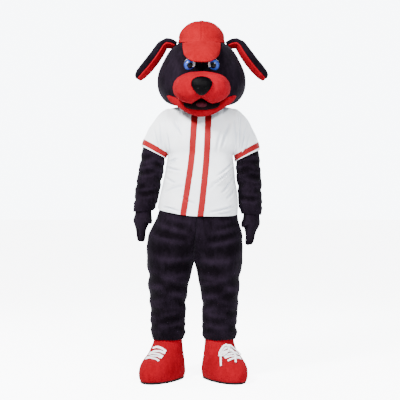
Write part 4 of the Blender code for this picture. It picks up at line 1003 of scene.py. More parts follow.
def near_points(places, targets, reach):
    """How far each place is from the nearest target, up to reach."""
    tree = KDTree(len(targets))
    for index, target in enumerate(targets):
        tree.insert(target, index)
    tree.balance()
    low, high = targets.min(axis=0) - reach, targets.max(axis=0) + reach
    away = np.full(len(places), reach)
    for index in np.flatnonzero(np.all((places > low) & (places < high), axis=1)):
        away[index] = min(tree.find(places[index])[2], reach)
    return away


def sink_seam(piece, targets, depth, half_width, pucker=0.25):
    """A sewn seam: the cloth dips along it, fills out beside it and puckers a little between stitches."""
    places = points_of(piece)
    away = near_points(places, targets, SEAM_REACH * half_width)
    share = away / half_width
    dip = np.exp(-(share**2))
    fill = SEAM_FILL * np.exp(-((share - SEAM_FILL_AT) ** 2) * 2.0)
    across, back, up = PUCKERS
    wave = 1.0 + pucker * np.sin(places[:, 2] * up + places[:, 0] * across + places[:, 1] * back)
    places += normals_of(piece) * (depth * (fill * wave - dip))[:, None]
    set_points(piece, places)


def split_by_mark(piece, label, names):
    """One piece for each mark, by name; the pieces still meet along their seams."""
    values = marked(piece, label)
    made = {}
    for value, name in names.items():
        part = bpy.data.objects.new(name, piece.data.copy())
        bpy.context.scene.collection.objects.link(part)
        cut_away(part, values != value)
        made[name] = part
    bpy.data.objects.remove(piece, do_unlink=True)
    return made


def moved_out(piece, distance):
    """Moves a piece's points outwards by a distance."""
    set_points(piece, points_of(piece) + normals_of(piece) * distance)


def lifted_copy(piece, label, value, name, gap, wall):
    """A second layer of cloth over the faces with a mark: it lies a little off them and has its own wall."""
    layer = bpy.data.objects.new(name, piece.data.copy())
    bpy.context.scene.collection.objects.link(layer)
    cut_away(layer, marked(layer, label) != value)
    moved_out(layer, gap)
    give_wall(layer, wall, outwards=True)
    return layer


def plan_line(tree, start, end, bow, side, steps=16):
    """A line on the body's front (side -1) or back (side 1) between two places seen from there."""
    rays = []
    for share in np.linspace(0.0, 1.0, steps):
        x = start[0] + (end[0] - start[0]) * share
        height = start[1] + (end[1] - start[1]) * share + sagged(bow, share)
        rays.append((Vector((x, side * OFF_BODY, height)), Vector((0.0, -side, 0.0))))
    return met_places(tree, rays, 2.0 * OFF_BODY)


def press_plan_folds(piece, tree, folds):
    """Folds given by where they start and end, seen from in front or from behind."""
    for fold in folds:
        start, end = (fold["from_x"], fold["from_z"]), (fold["to_x"], fold["to_z"])
        line = plan_line(tree, start, end, fold["bow"], fold["side"])
        if len(line) > 2:
            press_fold(piece, line, fold["half_width"], fold["depth"])


def write_distance(piece, label, targets, reach):
    """Keeps on the piece how far each of its points is from the nearest target, for its finish to read."""
    layer = piece.data.attributes.new(label, "FLOAT", "POINT")
    away = near_points(points_of(piece), targets, reach)
    layer.data.foreach_set("value", away.astype(np.float32))


def rumple(piece, height, size, seed):
    """A slow unevenness all over, as in stuffed or worn cloth."""
    places = points_of(piece)
    offset = Vector([seed * step for step in SEED_STEPS])
    rise = [noise.noise(Vector(place) / size + offset) for place in places]
    set_points(piece, places + normals_of(piece) * (np.array(rise) * height)[:, None])


def tuck_under(piece, cover, gap, most=0.012, aside_most=0.003, facing=0.5):
    """Presses a piece in where it would come through the cloth that lies over it and faces the same way."""
    places = points_of(piece)
    normals = normals_of(piece)
    for index, place in enumerate(places):
        spot, out, _, away = cover.find_nearest(Vector(place), most)
        if spot is None or out.dot(Vector(normals[index])) < facing:
            continue
        height = (Vector(place) - spot).dot(out)
        aside = math.sqrt(max(away * away - height * height, 0.0))
        if height > -gap and aside < aside_most:
            places[index] -= np.array(out) * (height + gap)
    set_points(piece, places)


def settle(places, solid, soft):
    """Moves places that rest on a faceted solid so that they rest on its rounded form in the same way."""
    moved = places.copy()
    for index, place in enumerate(places):
        spot = solid.find_nearest(Vector(place))[0]
        rounded = soft.find_nearest(spot)[0]
        moved[index] += np.array(rounded - spot)
    return moved


def dent(piece, centre, size, depth):
    """A soft hollow about a place."""
    places = points_of(piece)
    away = np.linalg.norm((places - np.array(centre)) / np.array(size), axis=1)
    set_points(piece, places - normals_of(piece) * (depth * np.exp(-2.0 * away**2))[:, None])


def divided(piece, cuts):
    """Cuts every edge of a piece into shorter ones, with its faces."""
    pick(piece)
    bpy.ops.object.mode_set(mode="EDIT")
    bpy.ops.mesh.select_all(action="SELECT")
    bpy.ops.mesh.subdivide(number_cuts=cuts)
    bpy.ops.object.mode_set(mode="OBJECT")


# ------------------------------------------------------------
# The plush suit
# ------------------------------------------------------------

# The cut panels of the suit, and the solids that each is made from.
SUIT_PANELS = table(
    "name nodes",
    ("plush_front_left", ("suit_front_left", "suit_leg_front_left")),
    ("plush_front_right", ("suit_front_right", "suit_leg_front_right")),
    ("plush_back_left", ("suit_back_left", "suit_leg_back_left")),
    ("plush_back_right", ("suit_back_right", "suit_leg_back_right")),
    ("plush_sleeve_left", ("suit_sleeve_left",)),
    ("plush_sleeve_right", ("suit_sleeve_right",)),
)

# Folds round a limb: each runs from one azimuth to the other about its height, rises by the rise from its
# start to its end, and sags by the bow in its middle. Heights are in the costume's frame.
LEG_CREASES = table(
    "height azimuth_from azimuth_to rise bow half_width depth",
    (-0.742, -40, 60, 0.034, -0.016, 0.037, 0.0048),
    (-0.842, -75, 28, -0.030, -0.016, 0.035, 0.0076),
    (-0.900, 8, 112, 0.036, -0.014, 0.033, 0.0076),
    (-0.948, -88, 26, 0.022, -0.020, 0.029, 0.0086),
    (-0.990, -12, 98, -0.026, -0.018, 0.030, 0.0084),
    (-1.040, -112, -8, 0.022, -0.012, 0.026, 0.0067),
    (-1.084, 4, 92, 0.026, -0.014, 0.027, 0.0065),
    (-1.128, -64, 38, -0.022, -0.012, 0.025, 0.0060),
    (-1.172, 22, 132, 0.016, -0.010, 0.021, 0.0054),
    (-1.190, -132, -18, 0.012, -0.008, 0.019, 0.0052),
    (-0.856, 118, 202, 0.022, -0.012, 0.033, 0.0065),
    (-0.922, 150, 252, -0.022, -0.014, 0.029, 0.0092),
    (-0.966, 108, 216, 0.018, -0.014, 0.027, 0.0086),
    (-1.020, 160, 246, 0.018, -0.010, 0.026, 0.0063),
    (-1.108, 128, 222, -0.014, -0.010, 0.024, 0.0056),
    (-1.170, 150, 240, 0.010, -0.008, 0.020, 0.0048),
)
THIGH_CREASES = table(
    "height azimuth_from azimuth_to rise bow half_width depth",
    (-0.612, -60, -10, -0.040, -0.006, 0.025, 0.0054),
    (-0.650, -80, -20, -0.056, -0.008, 0.027, 0.0065),
    (-0.672, 12, 70, 0.048, -0.008, 0.026, 0.0063),
    (-0.618, 24, 80, 0.036, -0.006, 0.022, 0.0052),
    (-0.662, 126, 178, -0.034, -0.008, 0.026, 0.0065),
    (-0.646, 184, 238, 0.034, -0.008, 0.026, 0.0065),
    (-0.790, 150, 172, -0.012, -0.010, 0.022, 0.0065),
    (-0.790, 188, 210, 0.012, -0.010, 0.022, 0.0065),
)
ARM_CREASES = table(
    "height azimuth_from azimuth_to rise bow half_width depth",
    (-0.205, -62, 52, 0.024, -0.010, 0.021, 0.0045),
    (-0.258, -4, 118, -0.024, -0.010, 0.021, 0.0056),
    (-0.298, -112, 12, 0.022, -0.012, 0.020, 0.0069),
    (-0.333, -24, 92, -0.020, -0.010, 0.019, 0.0069),
    (-0.378, -132, -18, 0.018, -0.008, 0.020, 0.0056),
    (-0.404, 8, 116, 0.020, -0.010, 0.019, 0.0058),
    (-0.448, -72, 42, -0.016, -0.008, 0.018, 0.0052),
    (-0.484, 28, 152, 0.012, -0.006, 0.015, 0.0045),
    (-0.512, -142, -38, 0.010, -0.006, 0.014, 0.0041),
    (-0.286, 138, 242, 0.018, -0.010, 0.021, 0.0069),
    (-0.330, 160, 262, -0.016, -0.010, 0.019, 0.0067),
    (-0.392, 142, 232, 0.014, -0.008, 0.019, 0.0052),
    (-0.455, 150, 250, -0.012, -0.008, 0.018, 0.0048),
)
CUFF_GATHERS = 26
CUFF_PLEAT = 0.0028
CUFF_LOW = -1.243
CUFF_TOP = -1.195
WRIST_GATHERS = 20
WRIST_PLEAT = 0.0018
WRIST_LOW = -0.548
WRIST_RISE = 0.045
PLEAT_FADE = 1.3
SUIT_SEAM = {"depth": 0.0022, "half_width": 0.0045}

# The suit's panels are sewn together where their edges lie this close.
SUIT_SEAM_GAP = 0.0035

# How far a limb's cloth is from its middle at most, and how far its edge may lie below its own height.
LIMB_REACH = 0.13
EDGE_REACH = 0.01

# The left arm hangs lower than the right one, and the folds of the right limbs lie a little higher.
LEFT_ARM_DROP = 0.018
RIGHT_FOLD_RISE = 0.011

# The room that the jersey leaves over the suit.
JERSEY_ROOM = 0.0022

# The middles of the body, of a leg and of an arm: where each is, and how a leg leans above its ankle and
# an arm below its elbow.
BODY_MIDDLE = (-0.012, 0.0)
LEG_OUT = 0.142
LEG_LEAN = (-0.043, 0.006)
LEG_BACK = 0.012
ANKLE = -1.16
CALF = 0.42
ARM_OUT = (0.259, 0.040)
ARM_LEAN = (0.004, 0.015)
ELBOW = -0.27
FOREARM = 0.27


def leg_axis(side):
    """The middle of a leg at each height."""

    def axis(height):
        up = max(0.0, (height - ANKLE) / CALF)
        lean = LEG_LEAN[0] + LEG_LEAN[1] * up
        return (LEG_OUT * side + lean, LEG_BACK)

    return axis


def arm_axis(side):
    """The middle of an arm at each height."""

    def axis(height):
        down = min(1.0, max(0.0, (ELBOW - height) / FOREARM))
        out = ARM_OUT[0] + ARM_OUT[1] * down
        return (out * side - ARM_LEAN[0] - ARM_LEAN[1] * down, 0.0)

    return axis


def body_axis(_):
    """The middle of the body, which is the same at each height."""
    return BODY_MIDDLE


def turned(folds, side):
    """The same folds for the other side of the body."""
    if side > 0:
        return folds
    return [
        dict(fold, azimuth_from=-fold["azimuth_to"], azimuth_to=-fold["azimuth_from"], rise=-fold["rise"])
        for fold in folds
    ]


def gather_in(piece, axis, count, low, high, depth, side):
    """Small upright pleats in the last of a limb, deepest at its edge, that fade out as they rise.

    The pleats drift together and apart and swell and shrink on their way round, as hand-sewn gathers do.
    """
    places = points_of(piece)
    middle = np.array([axis(height) for height in places[:, 2]])
    from_axis = places[:, :2] - middle
    near = np.linalg.norm(from_axis, axis=1) < LIMB_REACH
    chosen = near & (places[:, 2] > low - EDGE_REACH) & (places[:, 2] < high)
    azimuth = np.arctan2(from_axis[:, 0], -from_axis[:, 1])
    fade = np.clip((high - places[:, 2]) / (high - low), 0.0, 1.0) ** PLEAT_FADE
    drift = 1.7 * np.sin(azimuth * 3.0 + side)
    swell = 0.75 + 0.25 * np.sin(azimuth * 5.0 + 2.0)
    wave = np.sin(azimuth * count + drift) * swell
    moves = normals_of(piece) * (wave * depth * fade)[:, None]
    places[chosen] += moves[chosen]
    set_points(piece, places)


def make_suit(finishes, jersey):
    """The plush suit: its panels rounded as one skin, then creased, sewn and given their walls."""
    numbered = dict(enumerate(SUIT_PANELS, 1))
    skins = []
    for number, panel in numbered.items():
        skins += [numbered_skin(node, number, SUIT_WALL) for node in panel["nodes"]]
    whole = joined(skins, "suit_whole", SUIT_SEAM_GAP)
    round_off(whole, 3)
    seams = seam_points(whole, "panel")
    tree = tree_of(whole)
    drops = {1: LEFT_ARM_DROP, -1: 0.0}
    for side, drop in drops.items():
        shift = 0.0 if side > 0 else RIGHT_FOLD_RISE
        press_folds(whole, tree, leg_axis(side), turned(LEG_CREASES, side), shift)
        press_folds(whole, tree, arm_axis(side), turned(ARM_CREASES, side), shift - drop)
    press_folds(whole, tree, body_axis, THIGH_CREASES)
    rumple(whole, *UNEVEN["suit"])
    sink_seam(whole, seams, **SUIT_SEAM)
    for side, drop in drops.items():
        wrist = WRIST_LOW - drop
        gather_in(whole, leg_axis(side), CUFF_GATHERS, CUFF_LOW, CUFF_TOP, CUFF_PLEAT, side)
        gather_in(whole, arm_axis(side), WRIST_GATHERS, wrist, wrist + WRIST_RISE, WRIST_PLEAT, side)
    tuck_under(whole, jersey, JERSEY_WALL + JERSEY_ROOM)
    pieces = split_by_mark(whole, "panel", {number: panel["name"] for number, panel in numbered.items()})
    for panel in SUIT_PANELS:
        piece = pieces[panel["name"]]
        give_wall(piece, SUIT_WALL)
        finish_piece(piece, finishes, "plush_black", *panel["nodes"])


# ------------------------------------------------------------
# The jersey
# ------------------------------------------------------------

JERSEY_PANELS = {
    1: "jersey_front",
    2: "jersey_back",
    3: "jersey_sleeve_left",
    4: "jersey_sleeve_right",
}
JERSEY_TRIMS = {
    1: "jersey_stripe_left",
    2: "jersey_stripe_right",
    3: "sleeve_band_left",
    4: "sleeve_band_right",
}
SLEEVE_BANDS = ("sleeve_band_left", "sleeve_band_right")
TRIM_GAP = 0.0003
TRIM_REACH = 0.005
BAND_GAP = 0.0007
BAND_WIDTH = 0.030
JERSEY_SEAM = {"depth": 0.0014, "half_width": 0.0035, "pucker": 0.5}

# How much a sleeve's hem rises for each metre outwards.
SLEEVE_SLOPE = 0.68

# The jersey's open edges below this height are hems, and the ones above it are the neck's. The distance
# from a hem is kept up to the reach.
HEMS_BELOW = -0.1
HEM_REACH = 0.05

# Folds seen from in front (side -1) or from behind (side 1).
JERSEY_CREASES = table(
    "side from_x from_z to_x to_z bow half_width depth",
    (-1, 0.196, -0.280, 0.050, -0.398, -0.012, 0.0085, 0.0142),
    (-1, 0.182, -0.262, 0.076, -0.356, -0.008, 0.0075, 0.0097),
    (-1, 0.168, -0.322, 0.034, -0.428, 0.004, 0.0080, 0.0090),
    (-1, 0.192, -0.330, 0.104, -0.446, -0.008, 0.0100, 0.0090),
    (-1, 0.194, -0.400, 0.132, -0.478, -0.006, 0.0100, 0.0067),
    (-1, 0.194, -0.502, 0.034, -0.548, -0.006, 0.0090, 0.0105),
    (-1, 0.192, -0.532, 0.080, -0.558, -0.004, 0.0075, 0.0067),
    (-1, 0.214, -0.015, 0.200, -0.228, 0.000, 0.0080, 0.0080),
    (-1, 0.246, -0.060, 0.206, -0.238, -0.012, 0.0080, 0.0080),
    (-1, 0.236, -0.030, 0.292, -0.150, 0.010, 0.0080, 0.0060),
    (-1, 0.262, -0.120, 0.226, -0.236, -0.008, 0.0080, 0.0055),
    (-1, 0.176, -0.040, 0.188, -0.196, 0.000, 0.0090, 0.0050),
    (-1, 0.150, -0.060, 0.106, -0.206, 0.000, 0.0120, 0.0063),
    (-1, 0.104, -0.100, 0.078, -0.230, 0.000, 0.0120, 0.0045),
    (-1, -0.198, -0.286, -0.124, -0.262, 0.006, 0.0075, 0.0112),
    (-1, -0.200, -0.300, -0.106, -0.324, -0.004, 0.0090, 0.0083),
    (-1, -0.204, -0.350, -0.130, -0.392, -0.006, 0.0100, 0.0063),
    (-1, -0.205, -0.440, -0.090, -0.405, 0.008, 0.0120, 0.0067),
    (-1, -0.214, -0.520, -0.118, -0.545, 0.006, 0.0085, 0.0083),
    (-1, -0.190, -0.110, -0.166, -0.250, 0.000, 0.0100, 0.0052),
    (-1, -0.232, -0.055, -0.212, -0.205, 0.000, 0.0090, 0.0055),
    (-1, -0.262, -0.080, -0.226, -0.225, 0.004, 0.0085, 0.0048),
    (-1, -0.150, -0.055, -0.106, -0.140, 0.000, 0.0100, 0.0060),
    (-1, -0.120, -0.460, -0.030, -0.500, -0.004, 0.0110, 0.0053),
    (1, -0.188, -0.262, -0.060, -0.360, -0.012, 0.0095, 0.0120),
    (1, 0.188, -0.270, 0.050, -0.372, -0.012, 0.0095, 0.0120),
    (1, -0.176, -0.330, -0.030, -0.408, -0.006, 0.0090, 0.0097),
    (1, 0.180, -0.350, 0.020, -0.430, -0.008, 0.0090, 0.0105),
    (1, -0.196, -0.470, -0.040, -0.505, -0.008, 0.0100, 0.0090),
    (1, 0.192, -0.488, 0.060, -0.520, -0.008, 0.0100, 0.0090),
    (1, 0.214, -0.030, 0.196, -0.220, 0.000, 0.0090, 0.0075),
    (1, -0.214, -0.030, -0.198, -0.215, 0.000, 0.0090, 0.0075),
    (1, -0.110, -0.040, 0.100, -0.050, -0.024, 0.0120, 0.0075),
    (1, -0.070, -0.120, 0.080, -0.118, -0.016, 0.0120, 0.0053),
    (1, -0.150, -0.530, -0.080, -0.440, 0.004, 0.0100, 0.0060),
)


def laid_band(node, cover):
    """A band of cloth with a solid's own outline, laid on the rounded cloth under it."""
    band = skin_of(node, f"{node}_cloth", TRIM_WALL)
    places = points_of(band)
    ends = edges_of(band)
    used = uses_of_edges(band)
    for first, second in ends[used == 2]:
        heights = [places[end][2] - SLEEVE_SLOPE * abs(places[end][0]) for end in (first, second)]
        low, high = (first, second) if heights[0] < heights[1] else (second, first)
        step = places[high] - places[low]
        length = np.linalg.norm(step)
        places[high] = places[low] + step * max(length, BAND_WIDTH) / length
    set_points(band, places)
    round_off(band, 3)
    places = points_of(band)
    for index, place in enumerate(places):
        spot, out, _, _ = cover.find_nearest(Vector(place))
        places[index] = spot + out * BAND_GAP
    set_points(band, places)
    give_wall(band, TRIM_WALL, outwards=True)
    return band


def make_jersey(finishes):
    """The jersey: body and sleeves rounded as one skin, creased and sewn, then the bands laid on it.

    Gives back its surface, which the suit under it keeps inside.
    """
    skins = []
    for value, name in JERSEY_PANELS.items():
        skin = numbered_skin(name, value, JERSEY_WALL)
        for trim, trim_name in JERSEY_TRIMS.items():
            mark(skin, "trim", faces_under(skin, trim_name, TRIM_REACH), trim)
        skins.append(skin)
    whole = joined(skins, "jersey_whole")
    round_off(whole, 3)
    seams = seam_points(whole, "panel")
    hems = edge_points(whole)
    hems = hems[hems[:, 2] < HEMS_BELOW]
    press_plan_folds(whole, tree_of(whole), JERSEY_CREASES)
    rumple(whole, *UNEVEN["jersey"])
    sink_seam(whole, seams, **JERSEY_SEAM)
    cover = tree_of(whole)
    write_distance(whole, "hem", hems, HEM_REACH)
    for value, name in JERSEY_TRIMS.items():
        if name in SLEEVE_BANDS:
            trim = laid_band(name, cover)
        else:
            trim = lifted_copy(whole, "trim", value, f"{name}_cloth", TRIM_GAP, TRIM_WALL)
        finish_piece(trim, finishes, "band_red", name, smooth_angle=SEWN_ANGLE)
    knits = {value: f"{name}_knit" for value, name in JERSEY_PANELS.items()}
    panels = split_by_mark(whole, "panel", knits)
    for value, name in JERSEY_PANELS.items():
        panel = panels[knits[value]]
        give_wall(panel, JERSEY_WALL)
        finish_piece(panel, finishes, "jersey_white", name, smooth_angle=SEWN_ANGLE)
    return cover


# ------------------------------------------------------------
# The head, its cap and its face
# ------------------------------------------------------------

CAP_GAP = 0.0005
CAP_REACH = 0.008
CAP_PANELS = 6
CAP_SEAM = {"half_width": 0.0040, "depth": 0.0030, "fill": 0.45}
CAP_BAND = {"height": 0.013, "half_width": 0.0028, "depth": 0.0016, "fill": 0.4}

# The cap's seams start beside its button and reach their full depth further on.
SEAMS_START = 0.008
SEAMS_FULL = 0.02

# The cap's rim is pulled down over the brow, and by a share of that outwards.
RIM_REACH = 0.016
RIM_DROP = 0.010
RIM_FLARE = 0.75
BROW_FADE = 0.3
RIM_SECTORS = 60

EYE_VOXEL = 0.0011
EYE_SMOOTHING = 24
EYE_RADIUS = 0.036
EYE_HEIGHT = 0.234
GAZE = (-0.08, -1.0, -0.20)
DISC_ANGLE = 63.0
DISC_RISE = 0.0009
DISC_SINK = 0.0004
DISC_SECTORS = 64
DISC_RINGS = 60

# The muzzle's groove starts behind the nose, above its lower end, and ends below the mouth's upper edge.
GROOVE_START = 0.030
GROOVE_END = 0.016
GROOVE_HALF_WIDTH = 0.0075
GROOVE_DEPTH = 0.006

# A nostril lies beside the nose's middle, behind its front and below its middle.
NOSE_GROWTH = 1.12
NOSTRIL_PLACE = (0.019, 0.006, 0.012)
NOSTRIL_SIZE = (0.010, 0.012, 0.008)
NOSTRIL_DEPTH = 0.006

LINING_PUFF = 0.0022
SOFTNESS = 0.6


def make_head(finishes):
    """The hollow head, with the cap's crown as a second layer sewn over its top."""
    head = skin_of("head_shell", "head_plush", HEAD_WALL)
    mark(head, "cap", faces_under(head, "cap_crown", CAP_REACH))
    round_off(head, 3)
    crown = lifted_copy(head, "cap", 1, "cap_panels", CAP_GAP, CAP_WALL)
    shape_crown(crown)
    finish_piece(crown, finishes, "cap_red", "cap_crown", smooth_angle=SOFT_ANGLE)
    give_wall(head, HEAD_WALL)
    finish_piece(head, finishes, "plush_black", "head_shell", smooth_angle=SEWN_ANGLE)


def sewn_dip(share, fill):
    """A sewn line's dip, and how the padding fills out beside it, at a distance in half widths."""
    return np.exp(-(share**2)) - fill * np.exp(-((share - 2.0) ** 2))


def shape_crown(crown):
    """The seams between the crown's panels, the sewn band above its rim, and the rim over the brow."""
    places = points_of(crown)
    azimuth = np.arctan2(places[:, 0], -places[:, 1])
    from_axis = np.linalg.norm(places[:, :2], axis=1)
    step = FULL_TURN / CAP_PANELS
    from_seam = np.abs((azimuth + math.pi / CAP_PANELS) % step - step / 2) * from_axis
    panels = sewn_dip(from_seam / CAP_SEAM["half_width"], CAP_SEAM["fill"])
    fade = np.clip((from_axis - SEAMS_START) / SEAMS_FULL, 0.0, 1.0)
    from_band = np.abs(places[:, 2] - places[:, 2].min() - CAP_BAND["height"])
    band = sewn_dip(from_band / CAP_BAND["half_width"], CAP_BAND["fill"])
    dips = CAP_SEAM["depth"] * panels * fade + CAP_BAND["depth"] * band
    places = places - normals_of(crown) * dips[:, None]
    set_points(crown, rim_lowered(places, azimuth))


def rim_lowered(places, azimuth):
    """The crown's places with its rim pulled down and out in front, above the lowest place of each sector."""
    sectors = ((azimuth / FULL_TURN + 0.5) * RIM_SECTORS).astype(int) % RIM_SECTORS
    lowest = np.full(RIM_SECTORS, np.inf)
    np.minimum.at(lowest, sectors, places[:, 2])
    rim = np.clip(1.0 - (places[:, 2] - lowest[sectors]) / RIM_REACH, 0.0, 1.0)
    in_front = np.clip(np.cos(azimuth), 0.0, 1.0) ** BROW_FADE * (places[:, 1] < 0.0)
    out = places[:, :2] / np.linalg.norm(places[:, :2], axis=1)[:, None]
    moved = places.copy()
    moved[:, :2] += out * (RIM_DROP * RIM_FLARE * rim * in_front)[:, None]
    moved[:, 2] -= RIM_DROP * rim * in_front
    return moved


def soft_copy(node, name, size, repeats):
    """A padded piece in a solid's own place: its form in small even faces, with its corners rubbed round."""
    piece = copy_of(node, name)
    remeshed(piece, size)
    soften(piece, SOFTNESS, repeats)
    return piece


def eye_disc(side, finishes):
    """The coloured disc: a cap of a slightly larger ball, mapped in rings about the eye's gaze."""
    low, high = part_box(f"eye_ball_{side}")
    middle = Vector(((low.x + high.x) / 2, low.y + EYE_RADIUS, EYE_HEIGHT))
    sign = 1.0 if side == "left" else -1.0
    gaze = Vector((GAZE[0] * sign, GAZE[1], GAZE[2])).normalized()
    bpy.ops.object.select_all(action="DESELECT")
    bpy.ops.mesh.primitive_uv_sphere_add(
        segments=DISC_SECTORS,
        ring_count=DISC_RINGS,
        radius=EYE_RADIUS + DISC_RISE,
        location=middle,
        rotation=gaze.to_track_quat("Z", "Y").to_euler(),
    )
    disc = bpy.context.object
    disc.name = f"eye_{side}_disc"
    bpy.ops.object.transform_apply(location=True, rotation=True, scale=True)
    edge = math.cos(math.radians(DISC_ANGLE))
    outside = [(face.center - middle).normalized().dot(gaze) < edge for face in disc.data.polygons]
    cut_away(disc, outside)
    places = points_of(disc) - np.array(middle)
    across = gaze.cross(Vector((0.0, 0.0, 1.0))).normalized()
    upwards = across.cross(gaze).normalized()
    flat = np.stack([places @ np.array(across), places @ np.array(upwards)], axis=1)
    flat /= np.linalg.norm(flat, axis=1).max()
    for layer in list(disc.data.uv_layers):
        disc.data.uv_layers.remove(layer)
    layer = disc.data.uv_layers.new(name="rings")
    corners = read_all(disc.data.loops, "vertex_index", kind=int)
    layer.data.foreach_set("uv", flat[corners].astype(np.float32).ravel())
    give_wall(disc, DISC_RISE + DISC_SINK)
    finish_piece(disc, finishes, "eye_blue", f"eye_iris_{side}")


def make_eyes(finishes):
    """Domed eyes: a white ball and a coloured disc that lies on it."""
    for side in SIDES:
        ball = soft_copy(f"eye_ball_{side}", f"eye_{side}_white", EYE_VOXEL, EYE_SMOOTHING)
        finish_piece(ball, finishes, "eye_white", f"eye_ball_{side}")
        eye_disc(side, finishes)


def press_groove(muzzle):
    """The upright groove between the muzzle's two lobes."""
    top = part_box("nose")[0].z + GROOVE_START
    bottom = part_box("mouth_lining")[1].z - GROOVE_END
    groove = table(
        "side from_x from_z to_x to_z bow half_width depth",
        (-1, 0.0, top, 0.0, bottom, 0.0, GROOVE_HALF_WIDTH, GROOVE_DEPTH),
    )
    press_plan_folds(muzzle, tree_of(muzzle), groove)


def shape_nose(nose):
    """Fills the nose out about its middle and presses in its two nostrils."""
    low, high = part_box("nose")
    middle = np.array((low + high) / 2)
    set_points(nose, middle + (points_of(nose) - middle) * NOSE_GROWTH)
    aside, behind, below = NOSTRIL_PLACE
    for side in (1, -1):
        place = (side * aside, low.y + behind, (low.z + high.z) / 2 - below)
        dent(nose, place, NOSTRIL_SIZE, NOSTRIL_DEPTH)


def puff_lining(lining):
    """Lets an ear's lining stand out from the ear."""
    moved_out(lining, LINING_PUFF)


# The padded pieces: the solid that each comes from, its own name and finish, the size of its faces, how
# often it is smoothed, what shapes it further, whose unevenness it has, and how firmly it is filled.
PADS = table(
    "node name slot grain smoothing shaping uneven fill",
    ("muzzle", "muzzle_pad", "plush_red", 0.0035, 12, press_groove, "muzzle", 0.9),
    ("jaw_panel", "jaw_roll", "plush_red", 0.0035, 10, None, "jaw", 0.8),
    ("nose", "nose_shell", "nose_black", 0.0020, 20, shape_nose, None, None),
    ("mouth_lining", "mouth_felt", "mouth_dark", 0.0030, 8, None, None, 0.5),
    ("tongue", "tongue_pad", "tongue_red", 0.0016, 10, None, None, 0.7),
    ("ear_left", "ear_left_plush", "plush_black", 0.0030, 22, None, "ear", 0.7),
    ("ear_lining_left", "ear_left_strip", "plush_red", 0.0024, 7, puff_lining, None, 0.5),
    ("ear_right", "ear_right_plush", "plush_black", 0.0030, 22, None, "ear", 0.7),
    ("ear_lining_right", "ear_right_strip", "plush_red", 0.0024, 7, puff_lining, None, 0.5),
    ("cap_peak", "cap_visor", "cap_red", 0.0028, 6, None, None, 0.9),
    ("cap_button", "cap_top_button", "cap_red", 0.0008, 16, None, None, 0.9),
)


def make_pads(finishes):
    """The padded pieces of the face, the ears and the cap. The nose is a hard shell and isn't filled."""
    for pad in PADS:
        piece = soft_copy(pad["node"], pad["name"], pad["grain"], pad["smoothing"])
        if pad["shaping"]:
            pad["shaping"](piece)
        if pad["uneven"]:
            rumple(piece, *UNEVEN[pad["uneven"]])
        finish_piece(piece, finishes, pad["slot"], pad["node"])


# ------------------------------------------------------------
# The gloves and the shoes
# ------------------------------------------------------------

SOLE_CORNER = 40.0
SOLE_BEVEL = 0.0012
BOW_GRAIN = 0.0009

LACE_THICKNESS = 0.0022

# The plan of each hanging lace end on the left shoe, from the knot to its bare end: how far to the wearer's
# left of the ankle's middle, and how far behind it.
END_PLANS = {
    "a": ((-0.012, -0.090), (-0.032, -0.092), (-0.048, -0.110), (-0.062, -0.138), (-0.074, -0.166)),
    "b": ((0.010, -0.104), (0.020, -0.120), (0.016, -0.146), (0.004, -0.172), (-0.009, -0.200)),
}
END_POINTS = 16
END_LIFT = 0.0048
ROUTE_DECIMALS = 4

# The left upper by its height above the floor: half its width, how far its toe reaches, and how much broader
# it is towards the toe.
UPPER_FORM = table(
    "at half_width toe broader",
    (0.0280, 0.1010, 0.2430, 0.17),
    (0.0540, 0.1030, 0.2440, 0.17),
    (0.0820, 0.1010, 0.2330, 0.17),
    (0.1060, 0.0970, 0.2080, 0.15),
    (0.1240, 0.0930, 0.1770, 0.12),
    (0.1400, 0.0895, 0.1450, 0.09),
    (0.1600, 0.0860, 0.1150, 0.05),
    (0.1850, 0.0815, 0.0920, 0.02),
    (0.2120, 0.0785, 0.0785, 0.0),
    (0.2500, 0.0770, 0.0770, 0.0),
)
UPPER_HEIGHTS = (0.06, 0.2499)
HALVINGS = 40
SLOPE_STEP = 0.004

# Where the left shoe stands: its ankle's middle, how its toes turn out, and how the costume leans aside by
# the height above the floor.
ANKLE_MIDDLE = (0.142, 0.020)
TOE_OUT = math.radians(27.0)
LEAN = table("at shift", (0.00, -0.045), (0.30, -0.043), (0.72, -0.037))


def smooth(rows, name, at):
    """A column of a table, read along a smooth curve through its rows that doesn't overshoot them."""
    x = np.array([row["at"] for row in rows])
    y = np.array([row[name] for row in rows])
    step = np.diff(x)
    rise = np.diff(y) / step
    slope = np.zeros_like(y)
    slope[0], slope[-1] = rise[0], rise[-1]
    for i in range(1, len(x) - 1):
        if rise[i - 1] * rise[i] > 0.0:
            near = 2.0 * step[i] + step[i - 1]
            far = step[i] + 2.0 * step[i - 1]
            slope[i] = (near + far) / (near / rise[i - 1] + far / rise[i])
    i = np.clip(np.searchsorted(x, at, side="right") - 1, 0, len(x) - 2)
    share = (at - x[i]) / step[i]
    start = (1.0 + 2.0 * share) * y[i] + share * step[i] * slope[i]
    end = (3.0 - 2.0 * share) * y[i + 1] + (share - 1.0) * step[i] * slope[i + 1]
    return (1.0 - share) ** 2 * start + share**2 * end


def upper_top(x, y):
    """The height of the upper over a place in front of the ankle, found by halving a range of heights."""
    low, high = UPPER_HEIGHTS
    for _ in range(HALVINGS):
        height = (low + high) / 2
        forwards = -y / smooth(UPPER_FORM, "toe", height)
        broader = 1.0 + smooth(UPPER_FORM, "broader", height) * forwards
        edge = smooth(UPPER_FORM, "half_width", height) * math.sqrt(max(1.0 - forwards**2, 0.0)) * broader
        low, high = (height, high) if forwards < 1.0 and abs(x) < edge else (low, height)
    return (low + high) / 2


